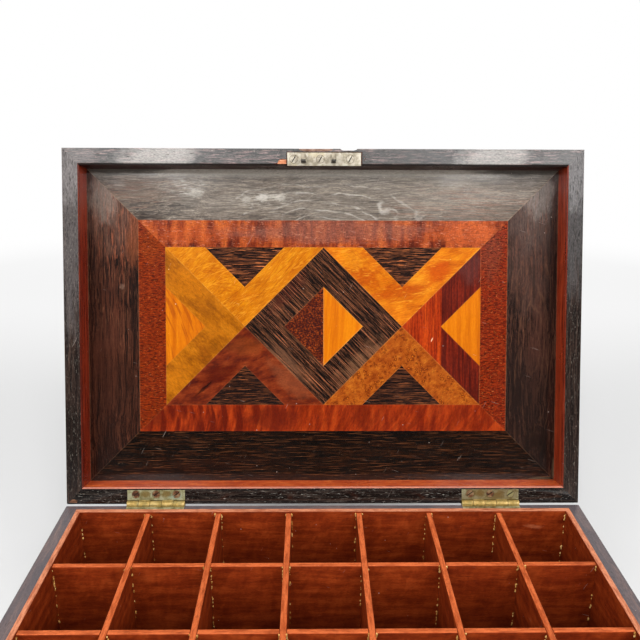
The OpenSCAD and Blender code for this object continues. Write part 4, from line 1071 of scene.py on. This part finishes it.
def side_nicks(side, heights, seed):
    """Nicks along the inner edge of a side rail at the given heights"""
    def build(shape):
        rng = random.Random(seed)
        for height in heights:
            nick(shape, side * 159.9, height, 0.1, rng.uniform(0.7, 1.8), rng.uniform(0.35, 0.6), rng)
    return build


def rail_edges(middle):
    """The lid's outer edges and the rim's inner edges, on the face towards the viewer"""
    back = (middle - PIN).dot(Vector((0.0, math.cos(LID_LEAN), -math.sin(LID_LEAN))))
    rise = (middle - PIN).dot(Vector((0.0, math.sin(LID_LEAN), math.cos(LID_LEAN)))) - PANEL_MID
    # The beds of the strike plate and of the hinges' leaves stay sharp
    beside_plate = abs(middle.x) < 24.5 and 105.9 < rise < 115.0
    beside_leaf = abs(abs(middle.x) - HINGE_X) < 19.5 and -116.0 < rise < -107.0
    return back < 1.0 and not beside_plate and not beside_leaf


def wall_edges(middle):
    """The outer edges of the base's walls"""
    return abs(middle.x) > HALF_WIDTH - 0.1 or abs(middle.y) > HALF_DEPTH - 0.1


def lining_edges(middle):
    """The upper edges of the linings, apart from those against the walls"""
    return middle.z > RIM - 0.01 and abs(middle.x) < 161 and abs(middle.y + 0.5) < 108


chips = {
    "lid_front_rail": cutter("front_chips", front_chips, bare_wood, rubbed_wood, gap_dirt),
    "lid_rear_rail": cutter("corner_chip", corner_chip, worn_corner),
    "lid_left_rail": cutter("left_nicks", side_nicks(-1, (48.0, 21.0, 18.0, -11.0, -40.0, -72.0, 80.0), 6),
                            rubbed_wood),
    "lid_right_rail": cutter("right_nicks", side_nicks(1, (45.0, 38.0, 31.0, 22.0, 18.0, -30.0, -66.0), 7),
                             rubbed_wood)}
for name, cutters in chips.items():
    eased(name, "lid", 0.45, rail_edges, cutters)
for name in ("front_wall", "rear_wall", "left_wall", "right_wall"):
    eased(name, "base", 0.5, wall_edges)
eased("lid_top_board", "lid", 0.6, lambda middle: True)
for name in ("front_lining", "rear_lining", "left_lining", "right_lining"):
    eased(name, "base", 0.4, lining_edges)
for name in nodes:
    if "divider" in name:
        eased(name, "base", 0.55, lambda middle: middle.z > DIVIDER_TOP - 0.01)

# ---------- old glue in the corners of the compartments ----------

glue = wood(
    "old_glue", ["#7a4a1c", "#a8763a", "#c79a58", "#d8b67c"], place=box_place, length=2.0, width=2.0,
    seed=41.0, coat=0.0, rough=0.8)


def bead(shape, x, y, side, rng):
    """A small uneven bead beside an upright corner. side is 1 in a left corner and -1 in a right one."""
    height = (DIVIDER_TOP - 42.0 * rng.random() ** 1.6 - 0.5) * MM
    size = rng.uniform(0.25, 0.65) * MM
    away = rng.uniform(0.0, 0.9) * MM
    place = Vector((x + side * away * 0.6, y - rng.uniform(0.0, 0.7) * MM, height))
    for vert in bmesh.ops.create_icosphere(shape, subdivisions=1, radius=1.0)["verts"]:
        stretch = Vector((vert.co.x, vert.co.y, vert.co.z * rng.uniform(1.0, 2.2)))
        vert.co = place + stretch * size


def glue_specks():
    """Small uneven beads up the rear corners of every compartment"""
    shape = bmesh.new()
    rng = random.Random(11)
    walls_x = sorted([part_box("left_lining")[1].x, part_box("right_lining")[0].x]
                     + [face.x for n in range(1, 7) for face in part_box(f"cross_divider_{n}")])
    walls_y = sorted([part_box("front_lining")[1].y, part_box("rear_lining")[0].y]
                     + [face.y for n in range(1, 4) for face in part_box(f"long_divider_{n}")])
    corners = [(x, y, side) for left, right in zip(walls_x[::2], walls_x[1::2]) for y in walls_y[1::2]
               for x, side in ((left, 1), (right, -1))]
    for corner in corners:
        for _ in range(rng.randint(7, 20)):
            bead(shape, *corner, rng)
    new_piece("glue_specks", shape, "base", glue)


glue_specks()

# ---------- studio ----------

CAMERA_PLACE = Vector((-9.2, -306.5, 348.4)) * MM
CAMERA_PITCH, CAMERA_YAW, CAMERA_ROLL = (math.radians(a) for a in (18.22, 0.83, -0.297))
FOCUS = 731.3  # in pixels of a picture 640 across

lens = bpy.data.cameras.new("camera")
lens.sensor_width = 36.0
lens.lens = FOCUS / 640 * lens.sensor_width
camera = bpy.data.objects.new("camera", lens)
camera.matrix_world = (
    Matrix.Translation(CAMERA_PLACE) @ Matrix.Rotation(-CAMERA_YAW, 4, "Z")
    @ Matrix.Rotation(math.pi / 2 - CAMERA_PITCH, 4, "X") @ Matrix.Rotation(-CAMERA_ROLL, 4, "Z"))
scene.collection.objects.link(camera)
scene.camera = camera
scene.view_settings.view_transform = "Standard"


def soft_light(name, place, target, width, height, power):
    """A soft box that faces a point"""
    data = bpy.data.lights.new(name, "AREA")
    data.shape, data.size, data.size_y, data.energy = "RECTANGLE", width, height, power
    lamp = bpy.data.objects.new(name, data)
    aim = (Vector(target) - Vector(place)).to_track_quat("-Z", "Y")
    lamp.matrix_world = Matrix.Translation(place) @ aim.to_matrix().to_4x4()
    scene.collection.objects.link(lamp)


soft_light("side_left", (-1.25, -0.95, 1.0), (0.0, 0.15, 0.2), 0.8, 0.8, 24.0)
soft_light("side_right", (1.25, -0.95, 1.0), (0.0, 0.15, 0.2), 0.8, 0.8, 24.0)
soft_light("window_left", (-0.44, -1.3, 1.35), (0.0, 0.15, 0.25), 0.26, 0.7, 6.0)
soft_light("window_right", (0.5, -1.3, 1.35), (0.0, 0.15, 0.25), 0.26, 0.7, 6.5)
soft_light("window_middle", (0.0, -1.4, 1.38), (0.0, 0.15, 0.25), 1.4, 0.7, 7.0)
soft_light("overhead", (0.0, -0.15, 1.6), (0.0, 0.0, 0.0), 1.5, 1.1, 12.0)

# The room is white behind the object and overhead, and dim behind the viewer
world = bpy.data.worlds.new("studio")
world.use_nodes = True
scene.world = world
s = Shade(world.node_tree)
path = s.add("LightPath", {}).outputs
x, y, z = s.split(s.add("TexCoord", {}).outputs["Generated"])
backdrop = s.math("MAXIMUM", s.smooth(y, 0.0, 0.35), s.smooth(z, 0.55, 0.95, 0.0, 0.7))
mirrored = s.times(path["Is Glossy Ray"], s.plus(s.times(backdrop, 0.97), 0.03))
seen = s.math("MAXIMUM", path["Is Camera Ray"], path["Is Transmission Ray"])
lighting = s.times(path["Is Diffuse Ray"], 0.4)
level = s.math("MAXIMUM", s.math("MAXIMUM", seen, mirrored), lighting)
background = world.node_tree.nodes["Background"].inputs
s.feed(background["Strength"], level)
s.feed(background["Color"], "#ffffff")

plane = bmesh.new()
bmesh.ops.create_grid(plane, x_segments=1, y_segments=1, size=30.0)
floor_mesh = bpy.data.meshes.new("floor")
plane.to_mesh(floor_mesh)
floor = bpy.data.objects.new("floor", floor_mesh)
scene.collection.objects.link(floor)
paper, s, surface = start_material("paper", 0.2)
s.feed(surface["Base Color"], "#cecece")
s.feed(surface["Roughness"], 0.9)
x, y, z = s.split(s.add("TexCoord", {}).outputs["Object"])
path = s.add("LightPath", {}).outputs
mirrored = s.times(path["Is Glossy Ray"], s.smooth(y, 0.0, 0.3))
seen = s.math("MAXIMUM", path["Is Camera Ray"], s.math("MAXIMUM", mirrored, path["Is Transmission Ray"]))
distance = s.vector("LENGTH", s.join(x, y, 0.0))
behind = s.plus(s.smooth(y, 0.28, 0.85, 0.0, 0.75), s.smooth(y, 0.8, 1.6, 0.0, 0.25))
far = s.times(seen, s.math("MAXIMUM", behind, s.smooth(distance, 0.55, 1.5)))
glow = s.add("Emission", {"Color": "#ffffff", "Strength": 1.0}).outputs[0]
sheet = paper.node_tree.nodes["Principled BSDF"].outputs[0]
blend = s.add("MixShader", {0: far, 1: sheet, 2: glow}).outputs[0]
s.feed(paper.node_tree.nodes["Material Output"].inputs["Surface"], blend)
floor_mesh.materials.append(paper)
